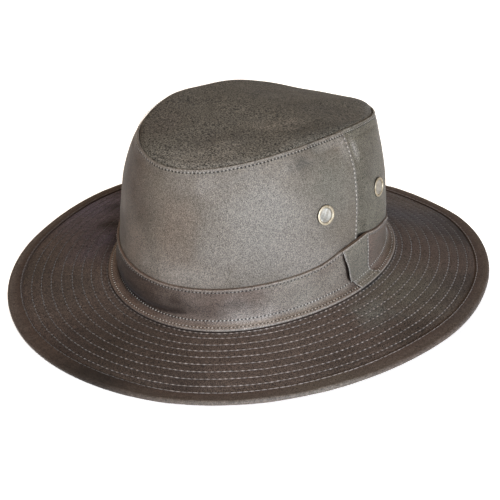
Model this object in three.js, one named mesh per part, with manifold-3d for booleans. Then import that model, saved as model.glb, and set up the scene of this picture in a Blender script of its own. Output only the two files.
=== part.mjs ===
// A waxed cotton hat with a wide stitched brim, resting on its brim.
// Millimetres, +Z up, the front of the hat towards -Y and the wearer's left towards +X.
// z = 0 is the surface that the hat rests on.
//
// Every piece is a cloth wall swept around the hat. A place on the hat is given by an angle,
// 0 degrees at the front and 90 degrees at the wearer's left, and by an oval that is widened
// or narrowed from the head oval. Heights around an oval are short cosine series:
// level + tilt cos(a) + saddle cos(2a) + twist cos(3a).

import * as THREE from 'three';
import { mergeVertices } from 'three/addons/utils/BufferGeometryUtils.js';
import Module from 'manifold-3d';

const wasm = await Module();
wasm.setup();

// Driving dimensions
const HEAD_HALF_LENGTH = 101.5;   // head oval, outside of the hat band, front to back
const HEAD_HALF_WIDTH = 88;       // head oval, outside of the hat band, side to side
const TIP_HALF_LENGTH = 96;       // seam between crown wall and tip
const TIP_HALF_WIDTH = 64.9;
const HEAD_SHIFT = 2.1;           // the head oval sits this far towards the back of the brim
const TIP_SHIFT = 8.7;            // and the tip this far
const DOME_RISE = 7;              // middle of the tip above the mean of its seam
const BRIM_WIDTH = 74.4;          // from the hat band's top edge to the brim's edge

const CROWN_CLOTH = 1.6;          // thickness of the crown wall
const TIP_CLOTH = 1.5;            // thickness of the tip
const BAND_CLOTH = 1.5;           // thickness of the hat band
const FLANGE_CLOTH = 1.8;         // folded lower edge of the band, on the brim
const FLANGE_WIDTH = 7.1;         // how far that flange reaches out over the brim
const TAB_CLOTH = 1.2;            // thickness of the overlapping end of the band
const BRIM_CLOTH = 2.2;           // thickness of the layered, stitched brim
const BRIM_EDGE_CLOTH = 1.0;      // the brim thins to this inside its binding
const BINDING_CLOTH = 1.0;        // thickness of the folded edge binding
const BINDING_WIDTH = 9.2;        // width of the binding on each face of the brim
const GAP = 0.3;                  // between neighbouring pieces
const BINDING_GAP = 0.25;         // between the brim and the binding folded round it

const WALL_LIP = 0.6;             // the wall's top edge stands this much over the tip

const EYELET_RADIUS = 6.7;        // outside of the eyelet's rim
const EYELET_SIGHT = 4.85;        // inside of the rim, where the gauze shows
const EYELET_BARREL = 5.7;        // outside of the barrel through the cloth
const EYELET_WALL = 0.5;          // thickness of the barrel
const GAUZE_RADIUS = 4.9;
const GAUZE_THICKNESS = 0.6;

// Heights around each oval: level, tilt, saddle and twist of its cosine series
const TIP_SEAM = { level: 114.3, tilt: 6.5, saddle: -6.9, twist: 0 };
const WALL_FOOT = { level: 47.4, tilt: -8.5, saddle: -2.7, twist: 0 };
const BAND_TOP = { level: 44.6, tilt: -4.9, saddle: -3.1, twist: 0 };
const FLANGE_TOP = { level: 18.5, tilt: -4.7, saddle: -3.0, twist: 0 };
const BINDING_LINE = { level: 5.9, tilt: -0.9, saddle: -4.2, twist: 0.3 };
const BRIM_EDGE = { level: 5.7, tilt: -0.8, saddle: -3.75, twist: 0.8 };

// The band's top edge is pulled up where its end overlaps, and the tip seam stands up a little
// at the back of the wearer's left. angle and spread in degrees
const BAND_LIFT = { angle: 90, height: 7.5, spread: 13 };
const BAND_FALL = { from: 113, to: 131, depth: 5.5 };   // the band is lower round the back
const SEAM_LIFT = { angle: 152, height: 2.4, spread: 14 };

// How far the crown wall bellies out between the band and the tip, as a cosine series
const WALL_BELLY = { level: 3.2, tilt: 0.9, saddle: -3.4, twist: 0 };

// Soft dents in the crown wall. angle and spreadAngle in degrees, rise and spreadRise as
// parts of the wall's height from band to tip, depth in millimetres
const DENTS = [
  { angle: 97, rise: 0.20, depth: 1.8, spreadAngle: 5, spreadRise: 0.14 },
  { angle: 96, rise: 0.62, depth: 1.0, spreadAngle: 4, spreadRise: 0.25 },
  { angle: 66, rise: 0.80, depth: 1.6, spreadAngle: 9, spreadRise: 0.12 },
  { angle: 33, rise: 0.86, depth: 1.4, spreadAngle: 11, spreadRise: 0.10 },
  { angle: 150, rise: 0.80, depth: 2.0, spreadAngle: 9, spreadRise: 0.15 },
  { angle: 205, rise: 0.55, depth: 1.5, spreadAngle: 14, spreadRise: 0.25 },
  { angle: 262, rise: 0.25, depth: 1.5, spreadAngle: 7, spreadRise: 0.15 },
];

// Vent eyelets, in the crown wall on both sides of each side seam
const EYELETS = [
  { name: 'left_front', angle: 74.3, rise: 0.425 },
  { name: 'left_back', angle: 112.0, rise: 0.365 },
  { name: 'right_front', angle: -74.3, rise: 0.425 },
  { name: 'right_back', angle: -112.0, rise: 0.365 },
];

const SIDE_SEAM_ANGLE = 91.5;     // the two wall panels meet here, on both sides
const TAB_START = 81;             // band tab, degrees around the hat
const TAB_END = 97;
const TAB_SLANT_FRONT = 7.7;      // degrees that the tab's front edge is turned back at its foot
const TAB_SLANT_BACK = 5.2;       // the same for its back edge

// Fineness of the facets
const COLUMNS = 60;               // around the whole hat
const WALL_RISES = [-1, 0, 0.14, 0.28, 0.44, 0.6, 0.76, 0.91, 1];
const TAB_COLUMNS = 3;
const EYELET_SIDES = 18;

// Finishes
const FINISH = {
  crown: { color: 0x8a8377, roughness: 0.82, metalness: 0 },
  tip: { color: 0x5c554c, roughness: 0.85, metalness: 0 },
  band: { color: 0x6a6054, roughness: 0.82, metalness: 0 },
  brim: { color: 0x554b41, roughness: 0.85, metalness: 0 },
  binding: { color: 0x4d4238, roughness: 0.8, metalness: 0 },
  brass: { color: 0xb9a578, roughness: 0.4, metalness: 1 },
  gauze: { color: 0xa9a79f, roughness: 0.5, metalness: 1 },
};

const radians = (degrees) => (degrees * Math.PI) / 180;
const mix = (from, to, part) => from + (to - from) * part;

// Height of a cosine series at an angle in radians
function around({ level, tilt, saddle, twist }, angle) {
  const bend = saddle * Math.cos(2 * angle) + twist * Math.cos(3 * angle);
  return level + tilt * Math.cos(angle) + bend;
}

// How far a local lift raises an edge
function liftAt(lift, angle) {
  const turn = (angle - radians(lift.angle)) / radians(lift.spread);
  return lift.height * Math.exp(-turn * turn);
}

// Height of the band's top edge, and of the seam between the crown wall and the tip
function bandTop(angle) {
  const behind = Math.acos(Math.cos(angle));
  const fall = THREE.MathUtils.smoothstep(behind, radians(BAND_FALL.from), radians(BAND_FALL.to));
  return around(BAND_TOP, angle) + liftAt(BAND_LIFT, angle) - BAND_FALL.depth * fall;
}
const tipSeam = (angle) => around(TIP_SEAM, angle) + liftAt(SEAM_LIFT, angle);

// A point on an oval, by its angle
function onOval(halfLength, halfWidth, shift, angle, height) {
  const x = halfWidth * Math.sin(angle);
  const y = -halfLength * Math.cos(angle) + shift;
  return new THREE.Vector3(x, y, height);
}

// A point at a distance outside the head oval. The shift fades out towards the brim's edge
function offHead(reach, angle, height) {
  const shift = HEAD_SHIFT * Math.min(1, 1 - reach / BRIM_WIDTH);
  return onOval(HEAD_HALF_LENGTH + reach, HEAD_HALF_WIDTH + reach, shift, angle, height);
}

// How far the dents push the crown wall in
function dentDepth(angle, rise) {
  let depth = 0;
  for (const dent of DENTS) {
    const turn = Math.atan2(Math.sin(angle - radians(dent.angle)), Math.cos(angle - radians(dent.angle)));
    const across = turn / radians(dent.spreadAngle);
    const along = (rise - dent.rise) / dent.spreadRise;
    depth += dent.depth * Math.exp(-across * across - along * along);
  }
  // dents fade out at the band and at the tip, where the neighbouring pieces are
  const fade = THREE.MathUtils.smoothstep(rise, 0, 0.12) * (1 - THREE.MathUtils.smoothstep(rise, 0.84, 0.96));
  return depth * fade;
}

// The crown wall's outer face. rise is 0 about level with the band's top edge, 1 at the tip
// seam and below 0 behind the band, where the wall runs straight down
function wallOuter(angle, rise) {
  const inset = BAND_CLOTH + GAP;
  const foot = offHead(-inset, angle, around(WALL_FOOT, angle));
  if (rise <= 0) {
    const bottom = offHead(-inset, angle, brimMiddle(-inset, angle) - BRIM_CLOTH / 2);
    return foot.lerp(bottom, -rise);
  }
  const seam = onOval(TIP_HALF_LENGTH, TIP_HALF_WIDTH, TIP_SHIFT, angle, tipSeam(angle));
  const outward = new THREE.Vector3(Math.sin(angle), -Math.cos(angle), 0);
  const swell = 4 * rise * (1 - rise) * (0.6 + 0.8 * rise);
  const push = Math.max(0, around(WALL_BELLY, angle)) * swell - dentDepth(angle, rise);
  return foot.lerp(seam, rise).addScaledVector(outward, push);
}

// Outward direction of the crown wall
function wallNormal(angle, rise) {
  const step = 0.01;
  const low = Math.max(rise - step, rise > 0 ? 0.001 : -1);
  const high = Math.min(rise + step, rise > 0 ? 1 : 0);
  const up = wallOuter(angle, high).sub(wallOuter(angle, low));
  const along = wallOuter(angle + step, rise).sub(wallOuter(angle - step, rise));
  return along.cross(up).normalize();
}

// A point a given depth inside the crown wall's outer face
function insideWall(angle, rise, depth) {
  return wallOuter(angle, rise).addScaledVector(wallNormal(angle, rise), -depth);
}

// Middle of the brim's cloth. Front and back of the edge are pressed flat by the hat's weight
function brimMiddle(reach, angle) {
  const restMiddle = BRIM_EDGE_CLOTH / 2 + BINDING_GAP + BINDING_CLOTH;
  const pressed = 1.3 * Math.max(0, Math.cos(2 * angle)) ** 2;
  const settle = (height) => Math.max(restMiddle, height - pressed);
  const line = BRIM_WIDTH - BINDING_WIDTH;
  const inner = around(FLANGE_TOP, angle) - FLANGE_CLOTH - GAP - BRIM_CLOTH / 2;
  const atLine = settle(around(BINDING_LINE, angle));
  const atEdge = settle(around(BRIM_EDGE, angle));
  if (reach > line) {
    return mix(atLine, atEdge, (reach - line) / (BRIM_WIDTH - line));
  }
  const part = (reach - FLANGE_WIDTH) / (line - FLANGE_WIDTH);
  const arch = part > 0 ? 2.2 * 4 * part * (1 - part) : 0;
  return mix(inner, atLine, part) + arch * (0.5 + 0.5 * Math.cos(2 * angle)) * 0.5;
}

// Triangles of a strip between two rows of point numbers
function strip(faces, first, second) {
  for (let i = 0; i + 1 < first.length; i += 1) {
    faces.push(first[i], second[i], second[i + 1]);
    faces.push(first[i], second[i + 1], first[i + 1]);
  }
}

// Geometry from points and triangles, turned to face outwards
function solidFrom(points, faces) {
  let volume = 0;
  for (let i = 0; i < faces.length; i += 3) {
    const [a, b, c] = [points[faces[i]], points[faces[i + 1]], points[faces[i + 2]]];
    volume += a.dot(b.clone().cross(c));
  }
  if (volume < 0) {
    faces.reverse();
  }
  const geometry = new THREE.BufferGeometry().setFromPoints(points);
  geometry.setIndex(faces);
  return geometry;
}

// A ring: the closed section given by sectionAt(angle), swept once around the hat
function ringSolid(sectionAt) {
  const points = [];
  const rows = [];
  for (let column = 0; column < COLUMNS; column += 1) {
    const section = sectionAt((2 * Math.PI * column) / COLUMNS);
    const row = section.map((point) => points.push(point) - 1);
    rows.push([...row, row[0]]);
  }
  const faces = [];
  rows.forEach((row, column) => strip(faces, row, rows[(column + 1) % COLUMNS]));
  return solidFrom(points, faces);
}

// A cap: the path given by pathAt(angle) runs from the middle of the top face to the middle of
// the under face, and is swept once around
function capSolid(pathAt, topMiddle, underMiddle) {
  const points = [topMiddle, underMiddle];
  const rows = [];
  for (let column = 0; column < COLUMNS; column += 1) {
    const path = pathAt((2 * Math.PI * column) / COLUMNS);
    rows.push(path.map((point) => points.push(point) - 1));
  }
  const faces = [];
  rows.forEach((row, column) => {
    const next = rows[(column + 1) % COLUMNS];
    strip(faces, row, next);
    faces.push(0, next[0], row[0]);
    faces.push(1, row[row.length - 1], next[next.length - 1]);
  });
  return solidFrom(points, faces);
}

// A panel: outer and inner faces between the given angles, closed along all four edges.
// facesAt(angle) returns the outer points and the inner points, in pairs
function panelSolid(angles, facesAt) {
  const points = [];
  const number = (point) => points.push(point) - 1;
  const rows = angles.map((angle) => {
    const { outer, inner } = facesAt(angle);
    return { outer: outer.map(number), inner: inner.map(number) };
  });
  const faces = [];
  for (let i = 0; i + 1 < rows.length; i += 1) {
    const here = [...rows[i].outer, ...rows[i].inner.slice().reverse(), rows[i].outer[0]];
    const next = [...rows[i + 1].outer, ...rows[i + 1].inner.slice().reverse(), rows[i + 1].outer[0]];
    strip(faces, here, next);
  }
  const first = rows[0];
  const last = rows[rows.length - 1];
  strip(faces, first.inner, first.outer);
  strip(faces, last.outer, last.inner);
  return solidFrom(points, faces);
}

// The angles of a panel's columns. Inside columns are shared with all the other pieces, so
// the facets of neighbours run side by side
function panelAngles(start, end) {
  const step = (2 * Math.PI) / COLUMNS;
  const angles = [start];
  for (let k = Math.ceil(start / step); k * step < end; k += 1) {
    if (k * step - start > step * 0.2 && end - k * step > step * 0.2) {
      angles.push(k * step);
    }
  }
  return [...angles, end];
}

// Manifold solids, used to cut the eyelet holes
function toManifold(geometry) {
  const plain = new THREE.BufferGeometry();
  plain.setAttribute('position', geometry.getAttribute('position').clone());
  if (geometry.index) {
    plain.setIndex(geometry.index.clone());
  }
  const merged = mergeVertices(plain, 1e-4);
  const mesh = new wasm.Mesh({
    numProp: 3,
    vertProperties: new Float32Array(merged.getAttribute('position').array),
    triVerts: new Uint32Array(merged.index.array),
  });
  return new wasm.Manifold(mesh);
}

function fromManifold(solid) {
  const mesh = solid.getMesh();
  const geometry = new THREE.BufferGeometry();
  geometry.setAttribute('position', new THREE.BufferAttribute(new Float32Array(mesh.vertProperties), 3));
  geometry.setIndex([...mesh.triVerts]);
  return geometry;
}

const hat = new THREE.Group();
hat.name = 'waxed_cotton_hat';

// Adds a piece, with flat facets, so that its edges show as cloth edges do
function addPiece(name, geometry, finish) {
  const shaded = geometry.index ? geometry.toNonIndexed() : geometry;
  shaded.computeVertexNormals();
  const mesh = new THREE.Mesh(shaded, new THREE.MeshStandardMaterial(finish));
  mesh.name = name;
  hat.add(mesh);
  return mesh;
}

// Where an eyelet sits: a frame with +Y out of the crown wall
function eyeletPlace({ angle, rise }) {
  const centre = wallOuter(radians(angle), rise);
  const normal = wallNormal(radians(angle), rise);
  const turn = new THREE.Quaternion().setFromUnitVectors(new THREE.Vector3(0, 1, 0), normal);
  return { centre, turn };
}

// Round hole through the crown wall for the barrel of an eyelet
function eyeletHole(eyelet) {
  const { centre, turn } = eyeletPlace(eyelet);
  const cutter = new THREE.CylinderGeometry(EYELET_BARREL + GAP, EYELET_BARREL + GAP, 12, EYELET_SIDES);
  cutter.applyQuaternion(turn).translate(centre.x, centre.y, centre.z);
  return toManifold(cutter);
}

// One panel of the crown wall, from the underside of the brim up to the tip seam
function crownPanel(start, end) {
  const halfGap = GAP / 2 / HEAD_HALF_WIDTH;
  const angles = panelAngles(start + halfGap, end - halfGap);
  const panel = panelSolid(angles, (angle) => ({
    outer: WALL_RISES.map((rise) => wallOuter(angle, rise)),
    inner: WALL_RISES.map((rise) => insideWall(angle, rise, CROWN_CLOTH)),
  }));
  let solid = toManifold(panel);
  for (const eyelet of EYELETS) {
    solid = solid.subtract(eyeletHole(eyelet));
  }
  return fromManifold(solid);
}

// The tip: a shallow dome, its edge turned down inside the crown wall as a seam allowance
function crownTip() {
  const height = TIP_SEAM.level - WALL_FOOT.level;
  const skirtRise = WALL_RISES[WALL_RISES.length - 2];
  const lipRise = 1 - WALL_LIP / height;
  const outerDepth = CROWN_CLOTH + GAP;
  const domeAt = (angle, part, lower) => {
    const edge = insideWall(angle, lipRise, outerDepth + lower);
    const y = TIP_SHIFT + (edge.y - TIP_SHIFT) * part;
    const tilt = TIP_SEAM.tilt * part * Math.cos(angle);
    const saddle = TIP_SEAM.saddle * part * part * Math.cos(2 * angle);
    const settle = (edge.z - around(TIP_SEAM, angle)) * part * part;
    const rise = DOME_RISE * (1 - part * part) + settle;
    return new THREE.Vector3(edge.x * part, y, TIP_SEAM.level + tilt + saddle + rise - lower);
  };
  const parts = [0.3, 0.58, 0.8, 1];
  const pathAt = (angle) => {
    const top = parts.map((part) => domeAt(angle, part, 0));
    const under = parts.map((part) => domeAt(angle, part, TIP_CLOTH)).reverse();
    const outside = insideWall(angle, skirtRise, outerDepth);
    const inside = insideWall(angle, skirtRise, outerDepth + TIP_CLOTH);
    return [...top, outside, inside, ...under];
  };
  return capSolid(pathAt, domeAt(0, 0, 0), domeAt(0, 0, TIP_CLOTH));
}

// Height of the brim's top face
const brimTop = (reach, angle) => brimMiddle(reach, angle) + BRIM_CLOTH / 2;

// Rows of the hat band's section, outer face from the top edge down and out onto the brim.
// reach is the distance outside the head oval. The height is taken from the band's top edge
// for drop, or from the brim's top face for lift
const BAND_ROWS = [
  { reach: 0, drop: 0 },
  { reach: 0.1, drop: 12 },
  { reach: 0.7, lift: 5.5 },
  { reach: 1.8, lift: 3.2 },
  { reach: 3.6, lift: 2.4 },
  { reach: 6.6, lift: 2.1 },
  { reach: 7.1, lift: 1.3 },
];

// A point of the band's outer face, moved out from the cloth by a clearance
function bandOuter(row, angle, clearance) {
  const height = row.lift === undefined
    ? bandTop(angle) - row.drop
    : brimTop(row.reach, angle) + row.lift;
  const flat = row.lift === undefined ? 0 : THREE.MathUtils.clamp((5.5 - row.lift) / 3, 0, 1);
  const out = clearance * Math.cos(flat * Math.PI / 2);
  const up = clearance * Math.sin(flat * Math.PI / 2);
  return offHead(row.reach + out, angle, height + up);
}

// The hat band: upright around the crown, its lower edge turned out as a flange on the brim
function hatBand() {
  return ringSolid((angle) => {
    const outer = BAND_ROWS.map((row) => bandOuter(row, angle, 0));
    const corner = offHead(-BAND_CLOTH, angle, brimTop(-BAND_CLOTH, angle) + GAP);
    const underFlange = offHead(3.6, angle, brimTop(3.6, angle) + GAP);
    const edge = offHead(6.6, angle, brimTop(6.6, angle) + GAP);
    const inside = offHead(-BAND_CLOTH, angle, bandTop(angle) - 12);
    const top = offHead(-BAND_CLOTH, angle, bandTop(angle));
    return [...outer, edge, underFlange, corner, inside, top];
  });
}

// The overlapping end of the band, lying on the band's outer face down to the flange
function bandTab() {
  const rows = BAND_ROWS.slice(0, 6);
  const tabPoint = (row, index, angle, depth) => {
    const across = (angle - radians(TAB_START)) / radians(TAB_END - TAB_START);
    const slant = mix(TAB_SLANT_FRONT, TAB_SLANT_BACK, across);
    return bandOuter(row, angle + radians(slant) * (index / (rows.length - 1)), depth);
  };
  const angles = [];
  for (let column = 0; column <= TAB_COLUMNS; column += 1) {
    angles.push(radians(mix(TAB_START, TAB_END, column / TAB_COLUMNS)));
  }
  return panelSolid(angles, (angle) => ({
    outer: rows.map((row, index) => tabPoint(row, index, angle, GAP + 0.15 + TAB_CLOTH)),
    inner: rows.map((row, index) => tabPoint(row, index, angle, GAP + 0.15)),
  }));
}

// The brim: a layered ring of cloth, thinner where the binding is folded round its edge
function brim() {
  const line = BRIM_WIDTH - BINDING_WIDTH;
  const edgeReach = BRIM_WIDTH - BINDING_CLOTH - BINDING_GAP;
  const stations = [
    { reach: -BAND_CLOTH, cloth: BRIM_CLOTH },
    { reach: 3.6, cloth: BRIM_CLOTH },
    { reach: 6.6, cloth: BRIM_CLOTH },
    { reach: 26, cloth: BRIM_CLOTH },
    { reach: 46, cloth: BRIM_CLOTH },
    { reach: line - 1, cloth: BRIM_CLOTH },
    { reach: line - GAP, cloth: BRIM_EDGE_CLOTH },
    { reach: edgeReach, cloth: BRIM_EDGE_CLOTH },
  ];
  return ringSolid((angle) => {
    const at = ({ reach, cloth }, side) => offHead(reach, angle, brimMiddle(reach, angle) + (side * cloth) / 2);
    const top = stations.map((station) => at(station, 1));
    const under = stations.map((station) => at(station, -1)).reverse();
    return [...top, ...under];
  });
}

// The binding: a strip folded round the brim's edge
function brimBinding() {
  const inner = BRIM_EDGE_CLOTH / 2 + BINDING_GAP;
  const outer = inner + BINDING_CLOTH;
  const start = BRIM_WIDTH - BINDING_WIDTH;
  const fold = BRIM_WIDTH - outer;
  const inEdge = BRIM_WIDTH - BINDING_CLOTH;
  const round = Math.SQRT1_2 * outer;
  return ringSolid((angle) => {
    const at = (reach, height) => offHead(reach, angle, brimMiddle(Math.min(reach, fold), angle) + height);
    return [
      at(start, outer), at(fold, outer),
      at(fold + round, round), at(BRIM_WIDTH, 0), at(fold + round, -round),
      at(fold, -outer), at(start, -outer),
      at(start, -inner), at(inEdge, -inner),
      at(inEdge, inner), at(start, inner),
    ];
  });
}

// Rim of an eyelet: a rolled flange outside, a barrel through the cloth and a roll inside.
// Rows of the turned section, radius from the axis and height out of the wall
function eyeletRim() {
  const seat = 0.35;
  const inside = -CROWN_CLOTH - 0.75;
  const rows = [
    { radius: EYELET_SIGHT, height: seat + 0.45 },
    { radius: EYELET_SIGHT + 0.35, height: seat + 0.95 },
    { radius: EYELET_RADIUS - 0.6, height: seat + 0.9 },
    { radius: EYELET_RADIUS, height: seat + 0.35 },
    { radius: EYELET_RADIUS - 0.1, height: seat },
    { radius: EYELET_BARREL, height: seat },
    { radius: EYELET_BARREL, height: inside },
    { radius: EYELET_RADIUS - 0.3, height: inside },
    { radius: EYELET_RADIUS - 0.4, height: inside - 0.6 },
    { radius: EYELET_BARREL - EYELET_WALL, height: inside - 0.6 },
    { radius: EYELET_BARREL - EYELET_WALL, height: seat + 0.15 },
    { radius: EYELET_SIGHT, height: seat + 0.15 },
  ];
  const section = rows.map(({ radius, height }) => new THREE.Vector2(radius, height));
  return new THREE.LatheGeometry([...section, section[0]], EYELET_SIDES);
}

// The gauze disc held behind the rim, slightly dished
function eyeletGauze() {
  const top = 0.5 - GAP;
  const rows = [
    { radius: 0, height: top - 0.35 },
    { radius: GAUZE_RADIUS * 0.6, height: top - 0.2 },
    { radius: GAUZE_RADIUS, height: top },
    { radius: GAUZE_RADIUS, height: top - GAUZE_THICKNESS },
    { radius: GAUZE_RADIUS * 0.6, height: top - 0.2 - GAUZE_THICKNESS },
    { radius: 0, height: top - 0.35 - GAUZE_THICKNESS },
  ];
  const section = rows.map(({ radius, height }) => new THREE.Vector2(radius, height));
  return new THREE.LatheGeometry(section, EYELET_SIDES);
}

// A turned solid set into the crown wall, with its faces pointing out
function setInWall(turned, eyelet) {
  const { centre, turn } = eyeletPlace(eyelet);
  const merged = mergeVertices(plainCopy(turned), 1e-4);
  const points = [];
  const position = merged.getAttribute('position');
  for (let i = 0; i < position.count; i += 1) {
    points.push(new THREE.Vector3().fromBufferAttribute(position, i).applyQuaternion(turn).add(centre));
  }
  const faces = [];
  const index = merged.index.array;
  for (let i = 0; i < index.length; i += 3) {
    const [a, b, c] = [index[i], index[i + 1], index[i + 2]];
    if (a !== b && b !== c && c !== a) {
      faces.push(a, b, c);
    }
  }
  return solidFrom(points, faces);
}

function plainCopy(geometry) {
  const plain = new THREE.BufferGeometry();
  plain.setAttribute('position', geometry.getAttribute('position').clone());
  plain.setIndex(geometry.index.clone());
  return plain;
}

// The hat's pieces
const seam = radians(SIDE_SEAM_ANGLE);
addPiece('crown_side_front', crownPanel(-seam, seam), FINISH.crown);
addPiece('crown_side_back', crownPanel(seam, 2 * Math.PI - seam), FINISH.crown);
addPiece('crown_tip', crownTip(), FINISH.tip);
addPiece('hat_band', hatBand(), FINISH.band);
addPiece('band_tab', bandTab(), FINISH.band);
addPiece('brim', brim(), FINISH.brim);
addPiece('brim_binding', brimBinding(), FINISH.binding);
for (const eyelet of EYELETS) {
  addPiece(`eyelet_rim_${eyelet.name}`, setInWall(eyeletRim(), eyelet), FINISH.brass);
  addPiece(`eyelet_gauze_${eyelet.name}`, setInWall(eyeletGauze(), eyelet), FINISH.gauze);
}

export default hat;
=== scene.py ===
"""Waxed cotton hat: the dressed model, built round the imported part.

The part's sizes are repeated here in millimetres. A place on the hat is an angle, 0 at the front
and a quarter turn at the wearer's left, and a distance outside or inside the head oval.
"""

from __future__ import annotations

import logging
import math
from dataclasses import dataclass
from enum import Enum
from typing import Any, Callable, ClassVar, Sequence

import bmesh
import bpy
import numpy as np
from mathutils import Matrix, Vector


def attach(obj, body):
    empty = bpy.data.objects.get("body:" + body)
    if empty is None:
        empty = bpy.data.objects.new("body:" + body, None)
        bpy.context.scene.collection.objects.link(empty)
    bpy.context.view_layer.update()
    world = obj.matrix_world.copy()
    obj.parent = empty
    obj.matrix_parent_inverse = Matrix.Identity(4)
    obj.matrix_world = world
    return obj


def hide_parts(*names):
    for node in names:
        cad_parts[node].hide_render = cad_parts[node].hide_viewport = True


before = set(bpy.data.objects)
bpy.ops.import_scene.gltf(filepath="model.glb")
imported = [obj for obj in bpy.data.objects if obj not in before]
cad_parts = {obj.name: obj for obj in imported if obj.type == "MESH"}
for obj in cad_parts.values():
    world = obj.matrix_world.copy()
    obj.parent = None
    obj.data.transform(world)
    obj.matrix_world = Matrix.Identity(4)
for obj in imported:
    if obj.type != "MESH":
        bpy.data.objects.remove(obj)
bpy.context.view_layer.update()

LOG = logging.getLogger("waxed_cotton_hat")
MM = 0.001
TURN = 2.0 * math.pi
PRESSED_FLAT = 0.04  # height in millimetres at which the lowest beads of thread are pressed flat by the floor
Array = np.ndarray
Material = bpy.types.Material
Tree = bpy.types.NodeTree
Socket = bpy.types.NodeSocket


def smooth_step(value: Array, low: float, high: float) -> Array:
    """Eases from 0 at low to 1 at high."""
    part = np.clip((value - low) / (high - low), 0.0, 1.0)
    return part * part * (3.0 - 2.0 * part)


def stretch(value: Array, start: float, full: float, fading: float, end: float) -> Array:
    """Eases from 0 at start to 1 at full, and from 1 at fading to 0 at end."""
    return smooth_step(value, start, full) * (1.0 - smooth_step(value, fading, end))


def hump(value: Array, centre: float, spread: float) -> Array:
    """A soft hump of height 1 at centre."""
    return np.exp(-(((value - centre) / spread) ** 2))


def signed(angle: Array) -> Array:
    """The same angle, within half a turn either way."""
    return np.arctan2(np.sin(angle), np.cos(angle))


def degrees_off(angle: Array, centre: float) -> Array:
    """How far an angle in radians is from a centre in degrees, in degrees either way."""
    return np.degrees(signed(angle - math.radians(centre)))


def level_out(angle: Array) -> Array:
    """Level direction away from the hat's middle, with x, y and z last."""
    return np.stack([np.sin(angle), -np.cos(angle), np.zeros_like(angle)], axis=-1)


def unit(vectors: Array) -> Array:
    """The same directions at length 1."""
    return vectors / np.linalg.norm(vectors, axis=-1, keepdims=True)


def as_grid(angle: Array, station: Array) -> tuple[Array, Array]:
    """Angles as a row and stations as a column, which together make a grid."""
    return np.atleast_2d(angle), np.asarray(station, dtype=float).reshape(-1, 1)


def soft_relief(turns: Array, along: Array, cells: tuple[int, int], seed: int) -> Array:
    """Smooth uneven relief between -1 and 1, the same in each run.

    Args:
        turns: Place round the hat, in turns. The relief repeats after one turn.
        along: Place across the cloth, from 0 to 1.
        cells: Number of waves round the hat and across the cloth.
        seed: Picks the pattern.

    Returns:
        The relief at each place.
    """
    table = np.random.RandomState(seed).uniform(-1.0, 1.0, (cells[1] + 2, cells[0]))
    u, v = np.broadcast_arrays(np.mod(turns, 1.0) * cells[0], np.clip(along, 0.0, 1.0) * cells[1])
    column, row = np.floor(u).astype(int), np.floor(v).astype(int)
    x, y = u - column, v - row
    x, y = x * x * (3.0 - 2.0 * x), y * y * (3.0 - 2.0 * y)
    left, right = column % cells[0], (column + 1) % cells[0]
    low = table[row, left] * (1.0 - x) + table[row, right] * x
    high = table[row + 1, left] * (1.0 - x) + table[row + 1, right] * x
    return low * (1.0 - y) + high * y


@dataclass(frozen=True)
class Series:
    """Heights round an oval: level, tilt cos a, saddle cos 2a and twist cos 3a."""

    level: float
    tilt: float
    saddle: float
    twist: float = 0.0

    def at(self, angle: Array) -> Array:
        """The height at an angle in radians."""
        bend = self.saddle * np.cos(2.0 * angle) + self.twist * np.cos(3.0 * angle)
        return self.level + self.tilt * np.cos(angle) + bend


@dataclass(frozen=True)
class Lift:
    """A place where an edge stands higher than its series. Degrees and millimetres."""

    angle: float
    height: float
    spread: float

    def at(self, angle: Array) -> Array:
        """How far the edge is raised at an angle in radians."""
        return self.height * hump(angle, math.radians(self.angle), math.radians(self.spread))


@dataclass(frozen=True)
class Dent:
    """A soft dent, or with a negative depth a swelling, in a cloth wall."""

    angle: float
    rise: float
    depth: float
    spread_angle: float
    spread_rise: float

    def at(self, angle: Array, rise: Array) -> Array:
        """How deep the dent is at an angle in radians and a rise."""
        across = degrees_off(angle, self.angle) / self.spread_angle
        return self.depth * np.exp(-(across**2) - ((rise - self.rise) / self.spread_rise) ** 2)


@dataclass(frozen=True)
class Corner:
    """A place where the crown wall stands out further, from a rise upwards. Degrees and millimetres."""

    angle: float
    push: float
    spread: float
    low: float
    high: float

    def at(self, angle: Array, rise: Array) -> Array:
        """How far the wall stands out at an angle in radians and a rise."""
        across = hump(degrees_off(angle, self.angle), 0.0, self.spread)
        return self.push * across * smooth_step(rise, self.low, self.high)


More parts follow.
